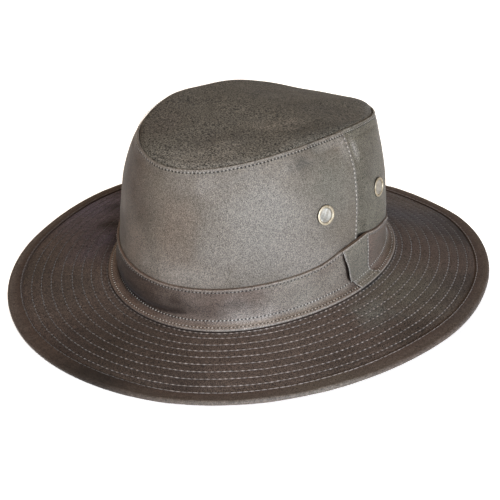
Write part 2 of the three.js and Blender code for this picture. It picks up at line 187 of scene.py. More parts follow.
@dataclass(frozen=True)
class HatShape:
    """The hat's surfaces, from the part's own named sizes, in millimetres."""

    head_half_length: float = 101.5
    head_half_width: float = 88.0
    tip_half_length: float = 96.0
    tip_half_width: float = 64.9
    head_shift: float = 2.1
    tip_shift: float = 8.7
    dome_rise: float = 7.0
    brim_width: float = 74.4
    crown_cloth: float = 1.6
    tip_cloth: float = 1.5
    band_cloth: float = 1.5
    flange_cloth: float = 1.8
    flange_width: float = 7.1
    brim_cloth: float = 2.2
    brim_edge_cloth: float = 1.0
    binding_cloth: float = 1.0
    binding_width: float = 9.2
    gap: float = 0.3
    binding_gap: float = 0.25
    wall_lip: float = 0.6
    tip_line: Series = Series(114.3, 6.5, -6.9)
    wall_foot: Series = Series(47.4, -8.5, -2.7)
    band_line: Series = Series(44.6, -4.9, -3.1)
    flange_top: Series = Series(18.5, -4.7, -3.0)
    binding_line: Series = Series(5.9, -0.9, -4.2, 0.3)
    brim_edge: Series = Series(5.7, -0.8, -3.75, 0.8)
    wall_belly: Series = Series(3.2, 0.9, -3.4)
    band_lift: Lift = Lift(90.0, 7.5, 13.0)
    band_dip: Lift = Lift(88.5, -1.9, 6.0)
    band_fall: tuple[float, float, float] = (113.0, 131.0, 5.5)
    seam_lift: Lift = Lift(152.0, 2.4, 14.0)
    dents: tuple[Dent, ...] = (
        Dent(97, 0.20, 0.8, 5, 0.14),
        Dent(96, 0.62, 1.0, 4, 0.25),
        Dent(66, 0.80, 1.6, 9, 0.12),
        Dent(33, 0.86, 1.4, 11, 0.10),
        Dent(150, 0.80, 2.0, 9, 0.15),
        Dent(205, 0.55, 1.5, 14, 0.25),
        Dent(262, 0.25, 1.5, 7, 0.15),
        Dent(71, 0.88, 1.1, 3.0, 0.06),
        Dent(40, 0.90, 0.6, 3.0, 0.05),
        Dent(52, 0.91, 0.5, 2.0, 0.04),
        Dent(127, 0.30, -0.8, 12, 0.22),
    )
    far_side: tuple[float, float] = (136.0, 184.0)
    edge_out: tuple[Lift, ...] = (
        Lift(-42.0, 0.9, 20.0), Lift(-77.0, -1.3, 11.0), Lift(38.0, 0.8, 14.0), Lift(94.0, 1.3, 13.0),
        Lift(154.0, 1.1, 18.0),
    )
    edge_up: tuple[Lift, ...] = (Lift(155.0, 1.2, 19.0),)
    binding_in: tuple[Lift, ...] = (
        Lift(45.0, 1.1, 75.0), Lift(0.0, 2.0, 22.0), Lift(-32.0, 0.8, 12.0), Lift(86.0, 1.3, 18.0),
        Lift(140.0, 0.7, 15.0),
    )
    flange_in: tuple[Lift, ...] = (Lift(0.0, 2.6, 26.0), Lift(52.0, 0.9, 28.0))
    side_out: Lift = Lift(120.0, 1.6, 11.0)
    corners: tuple[Corner, ...] = (Corner(-43, 1.5, 24, 0.15, 0.75), Corner(131, 1.8, 17, 0.72, 0.97))

    def oval(self, length: Array, width: Array, shift: Array, angle: Array, height: Array) -> Array:
        """Points on an oval, by its half-length and half-width, with x, y and z last."""
        x, y, z = np.broadcast_arrays(width * np.sin(angle), -length * np.cos(angle) + shift, height)
        return np.stack([x, y, z], axis=-1)

    def off_head(self, reach: Array, angle: Array, height: Array) -> Array:
        """Points at a distance outside the head oval."""
        turned = signed(angle)
        moved = lambda places: sum(place.at(turned) for place in places)
        outer = smooth_step(reach, 35.0, 70.0)
        shift = self.head_shift * np.minimum(1.0, 1.0 - reach / self.brim_width)
        at_binding = stretch(reach, 59.0, 64.5, 66.5, 74.0)
        at_flange = stretch(reach, 1.8, 6.5, 8.5, 14.0)
        narrowed = at_binding * moved(self.binding_in) + at_flange * moved(self.flange_in)
        reach, height = reach + outer * moved(self.edge_out) - narrowed, height + outer * moved(self.edge_up)
        length, width = self.head_half_length + reach, self.head_half_width + reach
        return self.oval(length, width, shift, angle, height)

    def brim_middle(self, reach: Array, angle: Array) -> Array:
        """Height of the middle of the brim's cloth. The edge is pressed flat at front and back."""
        lowest = self.brim_edge_cloth / 2 + self.binding_gap + self.binding_cloth
        pressed = 1.3 * np.maximum(0.0, np.cos(2.0 * angle)) ** 2
        line = self.brim_width - self.binding_width
        inner = self.flange_top.at(angle) - self.flange_cloth - self.gap - self.brim_cloth / 2
        at_line = np.maximum(lowest, self.binding_line.at(angle) - pressed)
        at_edge = np.maximum(lowest, self.brim_edge.at(angle) - pressed)
        part = (reach - self.flange_width) / (line - self.flange_width)
        arch = np.where(part > 0, 2.2 * 4 * part * (1 - part), 0.0)
        inside = inner + (at_line - inner) * part + arch * (0.5 + 0.5 * np.cos(2.0 * angle)) * 0.5
        outside = at_line + (at_edge - at_line) * (reach - line) / (self.brim_width - line)
        return np.where(reach > line, outside, inside)

    def brim_top(self, reach: Array, angle: Array) -> Array:
        """Height of the brim's top face."""
        return self.brim_middle(reach, angle) + self.brim_cloth / 2

    def band_top(self, angle: Array) -> Array:
        """Height of the hat band's top edge, for an angle from -pi to pi."""
        turned = signed(angle)
        start, end, depth = self.band_fall
        fall = depth * smooth_step(np.abs(np.degrees(turned)), start, end)
        return self.band_line.at(angle) + self.band_lift.at(turned) + self.band_dip.at(turned) - fall

    def behind(self, angle: Array) -> Array:
        """1 on the far side of the crown, where the tip stands proud of the wall's top edge, else 0."""
        past = np.mod(np.degrees(angle) - self.far_side[0], 360.0)
        return smooth_step(past, 0.0, 14.0) * (1.0 - smooth_step(past, self.far_side[1] - 18.0, self.far_side[1]))

    def tip_seam(self, angle: Array) -> Array:
        """Height of the seam between the crown wall and the tip."""
        turned = signed(angle)
        return self.tip_line.at(angle) + self.seam_lift.at(turned)

    def wall(self, angle: Array, rise: Array) -> Array:
        """Points on the crown wall's outer face.

        Args:
            angle: Angle round the hat, in radians.
            rise: 0 about level with the band's top edge, 1 at the tip seam, below 0 behind the band.

        Returns:
            The points, with x, y and z last.
        """
        angle, rise = np.broadcast_arrays(angle, rise)
        inset = self.band_cloth + self.gap
        foot = self.off_head(-inset, angle, self.wall_foot.at(angle))
        floor = self.brim_middle(-inset, angle) - self.brim_cloth / 2
        bottom = self.off_head(-inset, angle, floor)
        seam = self.oval(self.tip_half_length, self.tip_half_width, self.tip_shift, angle, self.tip_seam(angle))
        up = np.clip(rise, 0.0, 1.0)
        down = np.clip(-rise, 0.0, 1.0)
        depth = sum(dent.at(angle, rise) for dent in self.dents)
        depth = depth * stretch(rise, 0.0, 0.12, 0.84, 0.96)
        push = np.maximum(0.0, self.wall_belly.at(angle)) * 4 * up * (1 - up) * (0.6 + 0.8 * up) - depth
        push = push + sum(corner.at(angle, rise) for corner in self.corners)
        at_foot = stretch(rise, -0.9, -0.2, -0.02, 0.24)
        push = push + self.side_out.at(signed(angle)) * at_foot
        place = foot + (bottom - foot) * down[..., None] + (seam - foot) * up[..., None]
        return place + level_out(angle) * push[..., None]


SHAPE = HatShape()


def round_the_hat(columns: int) -> Array:
    """Angles once round the hat, the last one closing on the first."""
    return np.linspace(-math.pi, math.pi, columns + 1)


def path_lengths(points: Array) -> Array:
    """Distance along a path of points, from its first point."""
    steps = np.linalg.norm(np.diff(points, axis=0), axis=-1)
    return np.concatenate([[0.0], np.cumsum(steps)])


@dataclass(frozen=True)
class NeedleLine:
    """A stitch row that runs along a grid's columns, for the marks the needle leaves in the cloth.

    Args of the fields: station is the row's place among the grid's stations, pitch the stitch
    length in millimetres.
    """

    station: float
    pitch: float


def stitch_phase(points: Array, pitch: float) -> Array:
    """Stitch count along a path, ending on a whole number so that a round row closes."""
    run = path_lengths(points)
    return run / run[-1] * max(1.0, round(run[-1] / pitch))


@dataclass
class ClothGrid:
    """A grid of points wrapped over a surface, with the coordinates that its material reads."""

    name: str
    points: Array
    stations: Array
    needle_lines: Sequence[NeedleLine] = ()
    line_points: Callable[[float], Array] | None = None
    # above 0 paler, for worn edges and painted highlights; below 0 darker, for painted shade and shadow
    wear_and_shading: Array | None = None

    def needle_uv(self, rows: Array, columns: Array, bands: Array) -> Array:
        """Stitch phase along, and distance in millimetres from, the nearest stitch row.

        Args:
            rows: Grid row of each face corner.
            columns: Grid column of each face corner.
            bands: Lower grid row of the face that each corner belongs to.

        Returns:
            One pair of coordinates for each corner.
        """
        steps = np.linalg.norm(np.diff(self.points, axis=0), axis=-1).mean(axis=1)
        across = np.concatenate([[0.0], np.cumsum(steps)])
        order = np.argsort(self.stations, kind="stable")
        places = np.array([np.interp(line.station, self.stations[order], across[order]) for line in self.needle_lines])
        middles = (across[:-1] + across[1:]) / 2
        nearest = np.abs(middles[:, None] - places[None, :]).argmin(axis=1)
        phases = np.stack([stitch_phase(self.line_points(line.station), line.pitch) for line in self.needle_lines])
        line = nearest[bands]
        return np.stack([phases[line, columns], across[rows] - places[line]], axis=-1)

    def build(self) -> bpy.types.Object:
        """Makes the object: a grid is shaped, its seams merged and its faces turned outwards.

        Returns:
            The finished object, at the origin, with its place in its mesh.
        """
        rows, columns = self.points.shape[:2]
        bm = bmesh.new()
        bmesh.ops.create_grid(bm, x_segments=columns - 1, y_segments=rows - 1, size=1.0)
        mesh = bpy.data.meshes.new(self.name)
        bm.to_mesh(mesh)
        mesh.vertices.foreach_set("co", (self.points * MM).astype(np.float32).ravel())
        if self.needle_lines:
            corner = np.zeros(len(mesh.loops), dtype=np.int32)
            mesh.loops.foreach_get("vertex_index", corner)
            row, column = corner // columns, corner % columns
            band = np.repeat(row.reshape(-1, 4).min(axis=1), 4)
            layer = mesh.uv_layers.new(name="needle")
            layer.data.foreach_set("uv", self.needle_uv(row, column, band).astype(np.float32).ravel())
        if self.wear_and_shading is not None:
            wear_and_shading = np.broadcast_to(self.wear_and_shading, (rows, columns)).astype(np.float32)
            mesh.attributes.new("wear_and_shading", "FLOAT", "POINT").data.foreach_set("value", wear_and_shading.ravel())
        bm.clear()
        bm.from_mesh(mesh)
        bmesh.ops.remove_doubles(bm, verts=bm.verts, dist=2e-6)
        bmesh.ops.recalc_face_normals(bm, faces=bm.faces)
        return finished_object(self.name, bm, mesh)


def finished_object(name: str, bm: bmesh.types.BMesh, mesh: bpy.types.Mesh | None = None) -> bpy.types.Object:
    """Turns a bmesh into a smooth object in the scene.

    Args:
        name: Name of the piece.
        bm: The shape, which is freed.
        mesh: A mesh to reuse, or None for a new one.

    Returns:
        The new object.
    """
    mesh = mesh or bpy.data.meshes.new(name)
    for face in bm.faces:
        face.smooth = True
    bm.to_mesh(mesh)
    bm.free()
    piece = bpy.data.objects.new(name, mesh)
    bpy.context.scene.collection.objects.link(piece)
    return piece


def linear_colour(code: str) -> tuple[float, float, float, float]:
    """Turns an sRGB hex value into a linear colour."""
    parts = [int(code[i : i + 2], 16) / 255 for i in (1, 3, 5)]
    red, green, blue = (p / 12.92 if p <= 0.04045 else ((p + 0.055) / 1.055) ** 2.4 for p in parts)
    return (red, green, blue, 1.0)


def add_node(tree: Tree, kind: str, settings: dict[Any, Any] | None = None,
             links: dict[Any, Socket] | None = None) -> bpy.types.Node:
    """Adds a node with its settings and links.

    Args:
        tree: The node tree.
        kind: The node's type.
        settings: Values for its input sockets, by name or number, or for its properties.
        links: Output sockets to link to its inputs.

    Returns:
        The new node.
    """
    node = tree.nodes.new(kind)
    for key, value in (settings or {}).items():
        if isinstance(key, int) or key in node.inputs:
            node.inputs[key].default_value = value
        else:
            setattr(node, key, value)
    for key, socket in (links or {}).items():
        tree.links.new(socket, node.inputs[key])
    return node


def add_noise(tree: Tree, place: Socket, scale: float, detail: float, roughness: float = 0.5) -> bpy.types.Node:
    """Adds a noise texture that reads the given coordinates."""
    return add_node(tree, "ShaderNodeTexNoise", {"Scale": scale, "Detail": detail, "Roughness": roughness},
                    {"Vector": place})


def add_ramp(tree: Tree, value: Socket, source: tuple[float, float], target: tuple[float, float],
             kind: str = "LINEAR") -> Socket:
    """Maps a value from a source range onto a target range, held at both ends."""
    settings = {"interpolation_type": kind, "From Min": source[0], "From Max": source[1],
                "To Min": target[0], "To Max": target[1]}
    return add_node(tree, "ShaderNodeMapRange", settings, {"Value": value}).outputs[0]


def add_math(tree: Tree, operation: str, *values: Socket | float, clamp: bool = False) -> Socket:
    """Adds a maths node, whose values are sockets or numbers."""
    settings: dict[Any, Any] = {"operation": operation, "use_clamp": clamp}
    settings.update({number: value for number, value in enumerate(values) if isinstance(value, float)})
    links = {number: value for number, value in enumerate(values) if not isinstance(value, float)}
    return add_node(tree, "ShaderNodeMath", settings, links).outputs[0]


def add_mix(tree: Tree, share: Socket, under: Socket | str, over: Socket | str) -> Socket:
    """Lays a colour over another by a share. Each colour is a socket or an sRGB hex value."""
    settings: dict[Any, Any] = {"data_type": "RGBA"}
    links = {0: share}
    for number, colour in ((6, under), (7, over)):
        if isinstance(colour, str):
            settings[number] = linear_colour(colour)
        else:
            links[number] = colour
    return add_node(tree, "ShaderNodeMix", settings, links).outputs[2]


def add_scale(tree: Tree, vector: Socket, factor: Socket) -> Socket:
    """Multiplies a colour or a vector by a factor."""
    return add_node(tree, "ShaderNodeVectorMath", {"operation": "SCALE"}, {0: vector, "Scale": factor}).outputs[0]


def own_place(tree: Tree) -> Socket:
    """The object's own coordinates."""
    return add_node(tree, "ShaderNodeTexCoord").outputs["Object"]


def own_value(tree: Tree, name: str) -> Socket:
    """A number that the mesh holds for each of its points."""
    return add_node(tree, "ShaderNodeAttribute", {"attribute_name": name}).outputs["Fac"]


def new_material(name: str) -> tuple[Material, Tree, bpy.types.Node]:
    """A new material with a Principled shader on its output."""
    material = bpy.data.materials.new(name)
    material.use_nodes = True
    tree = material.node_tree
    tree.nodes.clear()
    shader = add_node(tree, "ShaderNodeBsdfPrincipled")
    add_node(tree, "ShaderNodeOutputMaterial", links={"Surface": shader.outputs[0]})
    return material, tree, shader


@dataclass(frozen=True)
class BloomAndShadeCloud:
    """A place where the cloth is painted paler or darker: partly the wax's own bloom, partly painted light and shade.

    The angle is in degrees, reach outside the head oval, height and radius in millimetres.
    """

    angle: float
    reach: float
    height: float
    radius: float
    strength: float
    colour: str

    def place(self) -> tuple[float, float, float]:
        """The cloud's middle, in metres."""
        spot = SHAPE.off_head(np.array(self.reach), np.array(math.radians(self.angle)), np.array(self.height))
        return tuple(float(v) * MM for v in spot)


def clouds_of(*rows: tuple[float, float, float, float, float, str]) -> tuple[BloomAndShadeCloud, ...]:
    """Clouds of bloom, painted light and painted shade from rows of angle, reach, height, radius, strength and colour.
    """
    return tuple(BloomAndShadeCloud(*row) for row in rows)


@dataclass(frozen=True)
class WaxedCotton:
    """Waxed cotton drill: plain woven, dressed with wax and rubbed. The wax gives a soft broad
    gloss, the rubbing a cloudy bloom, and the yarn a fine light and dark grain."""

    name: str
    cloth: str
    bloom: str
    deep: str
    grain: float = 0.34
    yarn: float = 0.6
    cloudiness: float = 0.3
    roughness: float = 0.58
    gloss: float = 0.18
    sheen: float = 0.04
    needle_pitch: float = 0.0
    # how dark the painted shade in the needle's holes is
    needle_shade: float = 0.55
    clouds: tuple[BloomAndShadeCloud, ...] = ()
    # paler colour for worn folded edges and for painted highlights
    rubbed: str = "#7c766f"
    # darker colour for painted shade in creases, under overlaps and in cast shadows
    crease: str = "#241c17"

    def material(self) -> Material:
        """Builds the material."""
        material, tree, shader = new_material(self.name)
        place = own_place(tree)
        # yarns are about 0.5 mm apart, just finer than the render's pixels, so each shows as a speck
        yarn = add_noise(tree, place, 1000.0 / self.yarn, 1.0, 0.6).outputs[0]
        slub = add_noise(tree, place, 500.0, 2.0, 0.6).outputs[0]
        # the wax blooms in clouds of about 30 mm, and lies thicker in patches of about 90 mm
        cloud = add_noise(tree, place, 30.0, 3.0, 0.55).outputs[0]
        patch = add_noise(tree, place, 11.0, 2.0).outputs[0]
        light = add_mix(tree, add_ramp(tree, cloud, (0.45, 0.75), (0.0, self.cloudiness)), self.cloth, self.bloom)
        dark = add_mix(tree, add_ramp(tree, patch, (0.5, 0.8), (0.0, self.cloudiness)), light, self.deep)
        speck = add_math(tree, "MULTIPLY_ADD", yarn, 0.8, add_math(tree, "MULTIPLY", slub, 0.2))
        tone = add_ramp(tree, speck, (0.3, 0.7), (1.0 - self.grain * 2, 1.0 + self.grain * 2))
        clouded = self.worn_and_shaded(tree, self.bloom_and_shade(tree, dark, place), slub)
        colour, height = add_scale(tree, clouded, tone), speck
        if self.needle_pitch:
            colour, height = self.needle_marks(tree, colour, height)
        tree.links.new(colour, shader.inputs["Base Color"])
        bump = add_node(tree, "ShaderNodeBump", {"Strength": 0.6, "Distance": 0.00025}, {"Height": height})
        tree.links.new(bump.outputs[0], shader.inputs["Normal"])
        gloss = add_ramp(tree, cloud, (0.3, 0.7), (self.roughness + 0.06, self.roughness - 0.06))
        tree.links.new(gloss, shader.inputs["Roughness"])
        shader.inputs["Specular IOR Level"].default_value = self.gloss
        shader.inputs["Sheen Weight"].default_value = self.sheen
        shader.inputs["Sheen Roughness"].default_value = 0.4
        return material

    def bloom_and_shade(self, tree: Tree, colour: Socket, place: Socket) -> Socket:
        """Lays pale and dark clouds over the cloth, with drifting edges: partly wax bloom, partly painted light and
        shade.

        Args:
            tree: The node tree.
            colour: The cloth's colour.
            place: The object's own coordinates.

        Returns:
            The new colour.
        """
        if not self.clouds:
            return colour
        # the clouds' edges drift by up to 25 mm either way
        drift = add_noise(tree, place, 28.0, 3.0, 0.6).outputs["Color"]
        spread = add_node(tree, "ShaderNodeVectorMath", {"operation": "MULTIPLY_ADD", 1: (0.05,) * 3, 2: (-0.025,) * 3},
                          {0: drift})
        moved = add_node(tree, "ShaderNodeVectorMath", {"operation": "ADD"}, {0: place, 1: spread.outputs[0]})
        for cloud in self.clouds:
            away = add_node(tree, "ShaderNodeVectorMath", {"operation": "DISTANCE", 1: cloud.place()},
                            {0: moved.outputs[0]})
            share = add_ramp(tree, away.outputs["Value"], (0.0, cloud.radius * MM), (cloud.strength, 0.0), "SMOOTHSTEP")
            colour = add_mix(tree, share, colour, cloud.colour)
        return colour

    def worn_and_shaded(self, tree: Tree, colour: Socket, uneven: Socket) -> Socket:
        """Paints the folded edges paler, partly worn and partly painted highlight, and paints shade into creases, under
        overlaps and where parts cast shadow.

        Args:
            tree: The node tree.
            colour: The cloth's colour.
            uneven: A fine noise that breaks up the edges.

        Returns:
            The new colour.
        """
        wear_and_shading = own_value(tree, "wear_and_shading")
        # above 0 the attribute paints edges paler, worn and lit; below 0 it paints shade
        for target, sign in ((self.rubbed, 1.0), (self.crease, -1.0)):
            painted_share = add_ramp(tree, uneven, (0.35, 0.65), (0.75 * sign, 1.1 * sign))
            colour = add_mix(tree, add_math(tree, "MULTIPLY", wear_and_shading, painted_share, clamp=True), colour, target)
        return colour

    def needle_marks(self, tree: Tree, colour: Socket, height: Socket) -> tuple[Socket, Socket]:
        """Paints shade into the needle's holes, sinks the cloth there and pulls it into puckers.

        Args:
            tree: The node tree.
            colour: The cloth's colour.
            height: The cloth's fine relief.

        Returns:
            The new colour and the new relief.
        """
        chart = add_node(tree, "ShaderNodeUVMap", {"uv_map": "needle"})
        phase, across = add_node(tree, "ShaderNodeSeparateXYZ", links={0: chart.outputs[0]}).outputs[:2]
        nearest = add_math(tree, "PINGPONG", phase, 0.5)
        along = add_math(tree, "MULTIPLY", nearest, self.needle_pitch)
        spot = add_node(tree, "ShaderNodeCombineXYZ", links={0: along, 1: across})
        away = add_node(tree, "ShaderNodeVectorMath", {"operation": "LENGTH"}, {0: spot.outputs[0]}).outputs["Value"]
        # painted shade in the needle's holes
        hole = add_ramp(tree, away, (0.35, 0.8), (1.0 - self.needle_shade, 1.0), "SMOOTHSTEP")
        close = add_ramp(tree, add_math(tree, "ABSOLUTE", across), (0.0, 2.6), (1.0, 0.0), "SMOOTHSTEP")
        raised = add_math(tree, "MULTIPLY_ADD", add_math(tree, "MULTIPLY", nearest, close), 2.2, height)
        return add_scale(tree, colour, hole), raised


@dataclass(frozen=True)
class CottonThread:
    """Waxed cotton sewing thread, two-ply. It shows as a pale bead on the top of each stitch, with
    painted shade where it dips into the needle's hole."""

    name: str
    crest: str
    # colour of the painted shade where the thread dips into the cloth
    dip: str
    roughness: float = 0.55

    def material(self) -> Material:
        """Builds the material, which reads the stitches' own tone attribute."""
        material, tree, shader = new_material(self.name)
        ply = add_noise(tree, own_place(tree), 1500.0, 1.0).outputs[0]
        colour = add_mix(tree, own_value(tree, "tone"), self.dip, self.crest)
        mixed = add_scale(tree, colour, add_ramp(tree, ply, (0.0, 1.0), (0.8, 1.2)))
        tree.links.new(mixed, shader.inputs["Base Color"])
        shader.inputs["Roughness"].default_value = self.roughness
        shader.inputs["Sheen Weight"].default_value = 0.2
        return material


@dataclass(frozen=True)
class AgedBrass:
    """Stamped brass, lacquered and gone dull: a pale gold rim with darker, rougher blotches."""

    name: str = "aged_brass"
    metal: str = "#b3a792"
    tarnish: str = "#8f8167"
    side_shade: str = "#2c2216"
    roughness: float = 0.66

    def material(self) -> Material:
        """Builds the material."""
        material, tree, shader = new_material(self.name)
        # blotches about 2 mm across
        blotch = add_noise(tree, own_place(tree), 450.0, 3.0, 0.6).outputs[0]
        worn = add_ramp(tree, blotch, (0.5, 0.72), (0.0, 1.0))
        # painted shade on the rim's outer side, where it meets the cloth
        shaded_rim = add_mix(tree, own_value(tree, "side"), add_mix(tree, worn, self.metal, self.tarnish), self.side_shade)
        tree.links.new(shaded_rim, shader.inputs["Base Color"])
        rough = add_ramp(tree, worn, (0.0, 1.0), (self.roughness - 0.08, self.roughness + 0.2))
        tree.links.new(rough, shader.inputs["Roughness"])
        shader.inputs["Metallic"].default_value = 1.0
        return material


@dataclass(frozen=True)
class NickelGauze:
    """Woven nickel wire gauze: a pale, satin disc with a fine grid of wires."""

    name: str = "nickel_gauze"
    wire: str = "#b2ada3"
    gap: str = "#777168"
    roughness: float = 0.5

    def material(self) -> Material:
        """Builds the material."""
        material, tree, shader = new_material(self.name)
        # wires 0.5 mm apart are finer than the render shows; the grid is drawn at 1 mm
        weave = add_node(tree, "ShaderNodeTexVoronoi", {"Scale": 1000.0, "Randomness": 0.15},
                         {"Vector": own_place(tree)}).outputs["Distance"]
        tree.links.new(add_mix(tree, weave, self.wire, self.gap), shader.inputs["Base Color"])
        bump = add_node(tree, "ShaderNodeBump", {"Strength": 0.4, "Distance": 0.0002, "invert": True},
                        {"Height": weave})
        tree.links.new(bump.outputs[0], shader.inputs["Normal"])
        shader.inputs["Roughness"].default_value = self.roughness
        shader.inputs["Metallic"].default_value = 0.9
        return material


class Slot(Enum):
    """The material slots."""

    CROWN = "crown_cloth"
    TIP = "tip_cloth"
    BAND = "band_cloth"
    BRIM = "brim_cloth"
    BINDING = "binding_cloth"
    BRASS = "eyelet_brass"
    GAUZE = "eyelet_gauze"


def dress(piece: bpy.types.Object, material: Material, slot: Slot, *nodes: str) -> None:
    """Gives a piece its finish and its place in the frame, and reports it.

    Args:
        piece: The finished object.
        material: Its material.
        slot: Not used.
        nodes: The part's nodes that the piece stands for.
    """
    piece.data.materials.clear()
    piece.data.materials.append(material)
    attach(piece, "root")
    if nodes:
        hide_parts(*nodes)
    piece.data.calc_loop_triangles()
    LOG.info("%s: %d triangles", piece.name, len(piece.data.loop_triangles))


@dataclass(frozen=True)
class Stitch:
    """One visible stitch: a bead of thread, fat in the middle, whose ends dip into the cloth.

    Sizes in millimetres; share is how much of the pitch the thread covers, fat the part of that on
    either side of the middle that is round, neck the width of its ends against its middle, between
    how pale the ends are, lean in degrees, dip how strongly the ends bend down.
    """

    pitch: float
    width: float
    height: float
    share: float = 0.92
    fat: float = 0.24
    neck: float = 0.5
    between: float = 0.1
    lean: float = 0.0
    sink: float = 0.1
    dip: float = 1.1


class Topstitching:
    """Rows of stitches, each a small bead of thread laid along a path on the cloth."""

    def __init__(self, name: str, stitch: Stitch, seed: int) -> None:
        """Starts an empty set of rows.

        Args:
            name: Name of the piece.
            stitch: The stitch that is repeated.
            seed: Picks the small unevenness from stitch to stitch.
        """
        self.name = name
        self.stitch = stitch
        self.rings = (0.0, 0.54 * stitch.fat, stitch.fat, 0.42, 0.5)
        self.random = np.random.RandomState(seed)
        self.bm = bmesh.new()
        self.template = self.bead()
        self.rest = np.zeros(len(self.template.vertices) * 3)
        self.template.vertices.foreach_get("co", self.rest)
        self.rest = self.rest.reshape(-1, 3)
        self.tone = self.template.attributes.new("tone", "FLOAT", "POINT")

    def bead(self) -> bpy.types.Mesh:
        """A bead of length, width and height 1, along X, with thin ends that bend down."""
        bm = bmesh.new()
        bmesh.ops.create_uvsphere(bm, u_segments=6, v_segments=8, radius=0.5)
        bmesh.ops.rotate(bm, verts=bm.verts, cent=(0, 0, 0), matrix=Matrix.Rotation(math.pi / 2, 3, "Y"))
        for vert in bm.verts:
            ring = min(abs(vert.co.x), 0.5)
            radius = math.sqrt(max(0.25 - ring * ring, 1e-6))
            place = float(np.interp(ring, (0.0, 0.191, 0.354, 0.462, 0.5), self.rings))
            neck = self.stitch.neck
            wanted = float(np.interp(place, self.rings, (0.5, 0.43, 0.25 + 0.2 * neck, 0.45 * neck, 0.0)))
            vert.co.x = math.copysign(place, vert.co.x)
            vert.co.y *= wanted / radius
            vert.co.z = vert.co.z * wanted / radius - self.stitch.dip * place**2
        mesh = bpy.data.meshes.new(self.name + "_bead")
        bm.to_mesh(mesh)
        bm.free()
        return mesh

    def row(self, points: Array, normals: Array, tones: Array | None = None) -> int:
        """Lays one row of stitches.

        Args:
            points: The path, in millimetres, with x, y and z last.
            normals: The cloth's outward direction at each point.
            tones: How pale the beads and the ends between them are at each point, or None for the same all along.

        Returns:
            How many stitches the row has.
        """
        run, shape = path_lengths(points), self.stitch
        count = max(1, round(run[-1] / shape.pitch))
        step = run[-1] / count
        for number in range(count):
            jitter = self.random.uniform(-1.0, 1.0, 4)
            at = (number + 0.5 + 0.05 * jitter[0]) * step
            sample = lambda table, where: np.array([np.interp(where, run, table[:, k]) for k in range(3)])
            middle = sample(points, at)
            ahead, behind = sample(points, min(at + 0.3 * step, run[-1])), sample(points, max(at - 0.3 * step, 0.0))
            along = Vector(ahead - behind).normalized()
            up = Vector(sample(normals, at)).normalized()
            side = up.cross(along).normalized()
            up = along.cross(side)
            lean = Matrix.Rotation(math.radians(shape.lean + 4.0 * jitter[1]), 3, up)
            along, side = lean @ along, lean @ side
            size = (step * shape.share, shape.width * (1 + 0.12 * jitter[2]), shape.height * (1 + 0.25 * jitter[3]))
            frame_of = np.array([along * size[0], side * size[1], up * size[2]])
            placed = self.rest @ frame_of + middle - np.array(up) * shape.sink
            placed[:, 2] = np.maximum(placed[:, 2], PRESSED_FLAT)
            self.template.vertices.foreach_set("co", (placed * MM).astype(np.float32).ravel())
            top, low = 1.0, shape.between
            if tones is not None:
                top, low = (float(np.interp(at, run, tones[:, k])) for k in (0, 1))
            # each stitch fades from its crest to dark ends: painted shade where the thread goes into the cloth
            fading = (top, 0.88 * top, 0.3 * top + 0.7 * low, low, 0.6 * low)
            crest = np.interp(np.abs(self.rest[:, 0]), self.rings, fading) * (0.88 + 0.2 * jitter[2])
            self.tone.data.foreach_set("value", np.clip(crest, 0.0, 1.0).astype(np.float32))
            self.bm.from_mesh(self.template)
        return count

    def row_on(self, surface: Callable[[Array, Array], Array], angles: Array, station: float, outward: float,
               tones: Array | None = None) -> int:
        """Lays a row along a surface's columns.

        Args:
            surface: The surface, from angles and stations to points.
            angles: The angles along the row.
            station: The row's station on the surface.
            outward: 1 where columns crossed with rising stations point out of the cloth, else -1.
            tones: How pale the thread is at each angle, as for a row.

        Returns:
            How many stitches the row has.
        """
        step = 0.004 if station <= 1.5 else 0.3
        strip = surface(angles, np.array([station, station + step]))
        along = np.gradient(strip[0], axis=0)
        normal = np.cross(along, strip[1] - strip[0]) * outward
        return self.row(strip[0], unit(normal), tones)

    def finish(self, thread: Material, slot: Slot) -> bpy.types.Object:
        """Makes the piece from all its rows and dresses it."""
        piece = finished_object(self.name, self.bm)
        bpy.data.meshes.remove(self.template)
        dress(piece, thread, slot)
        return piece


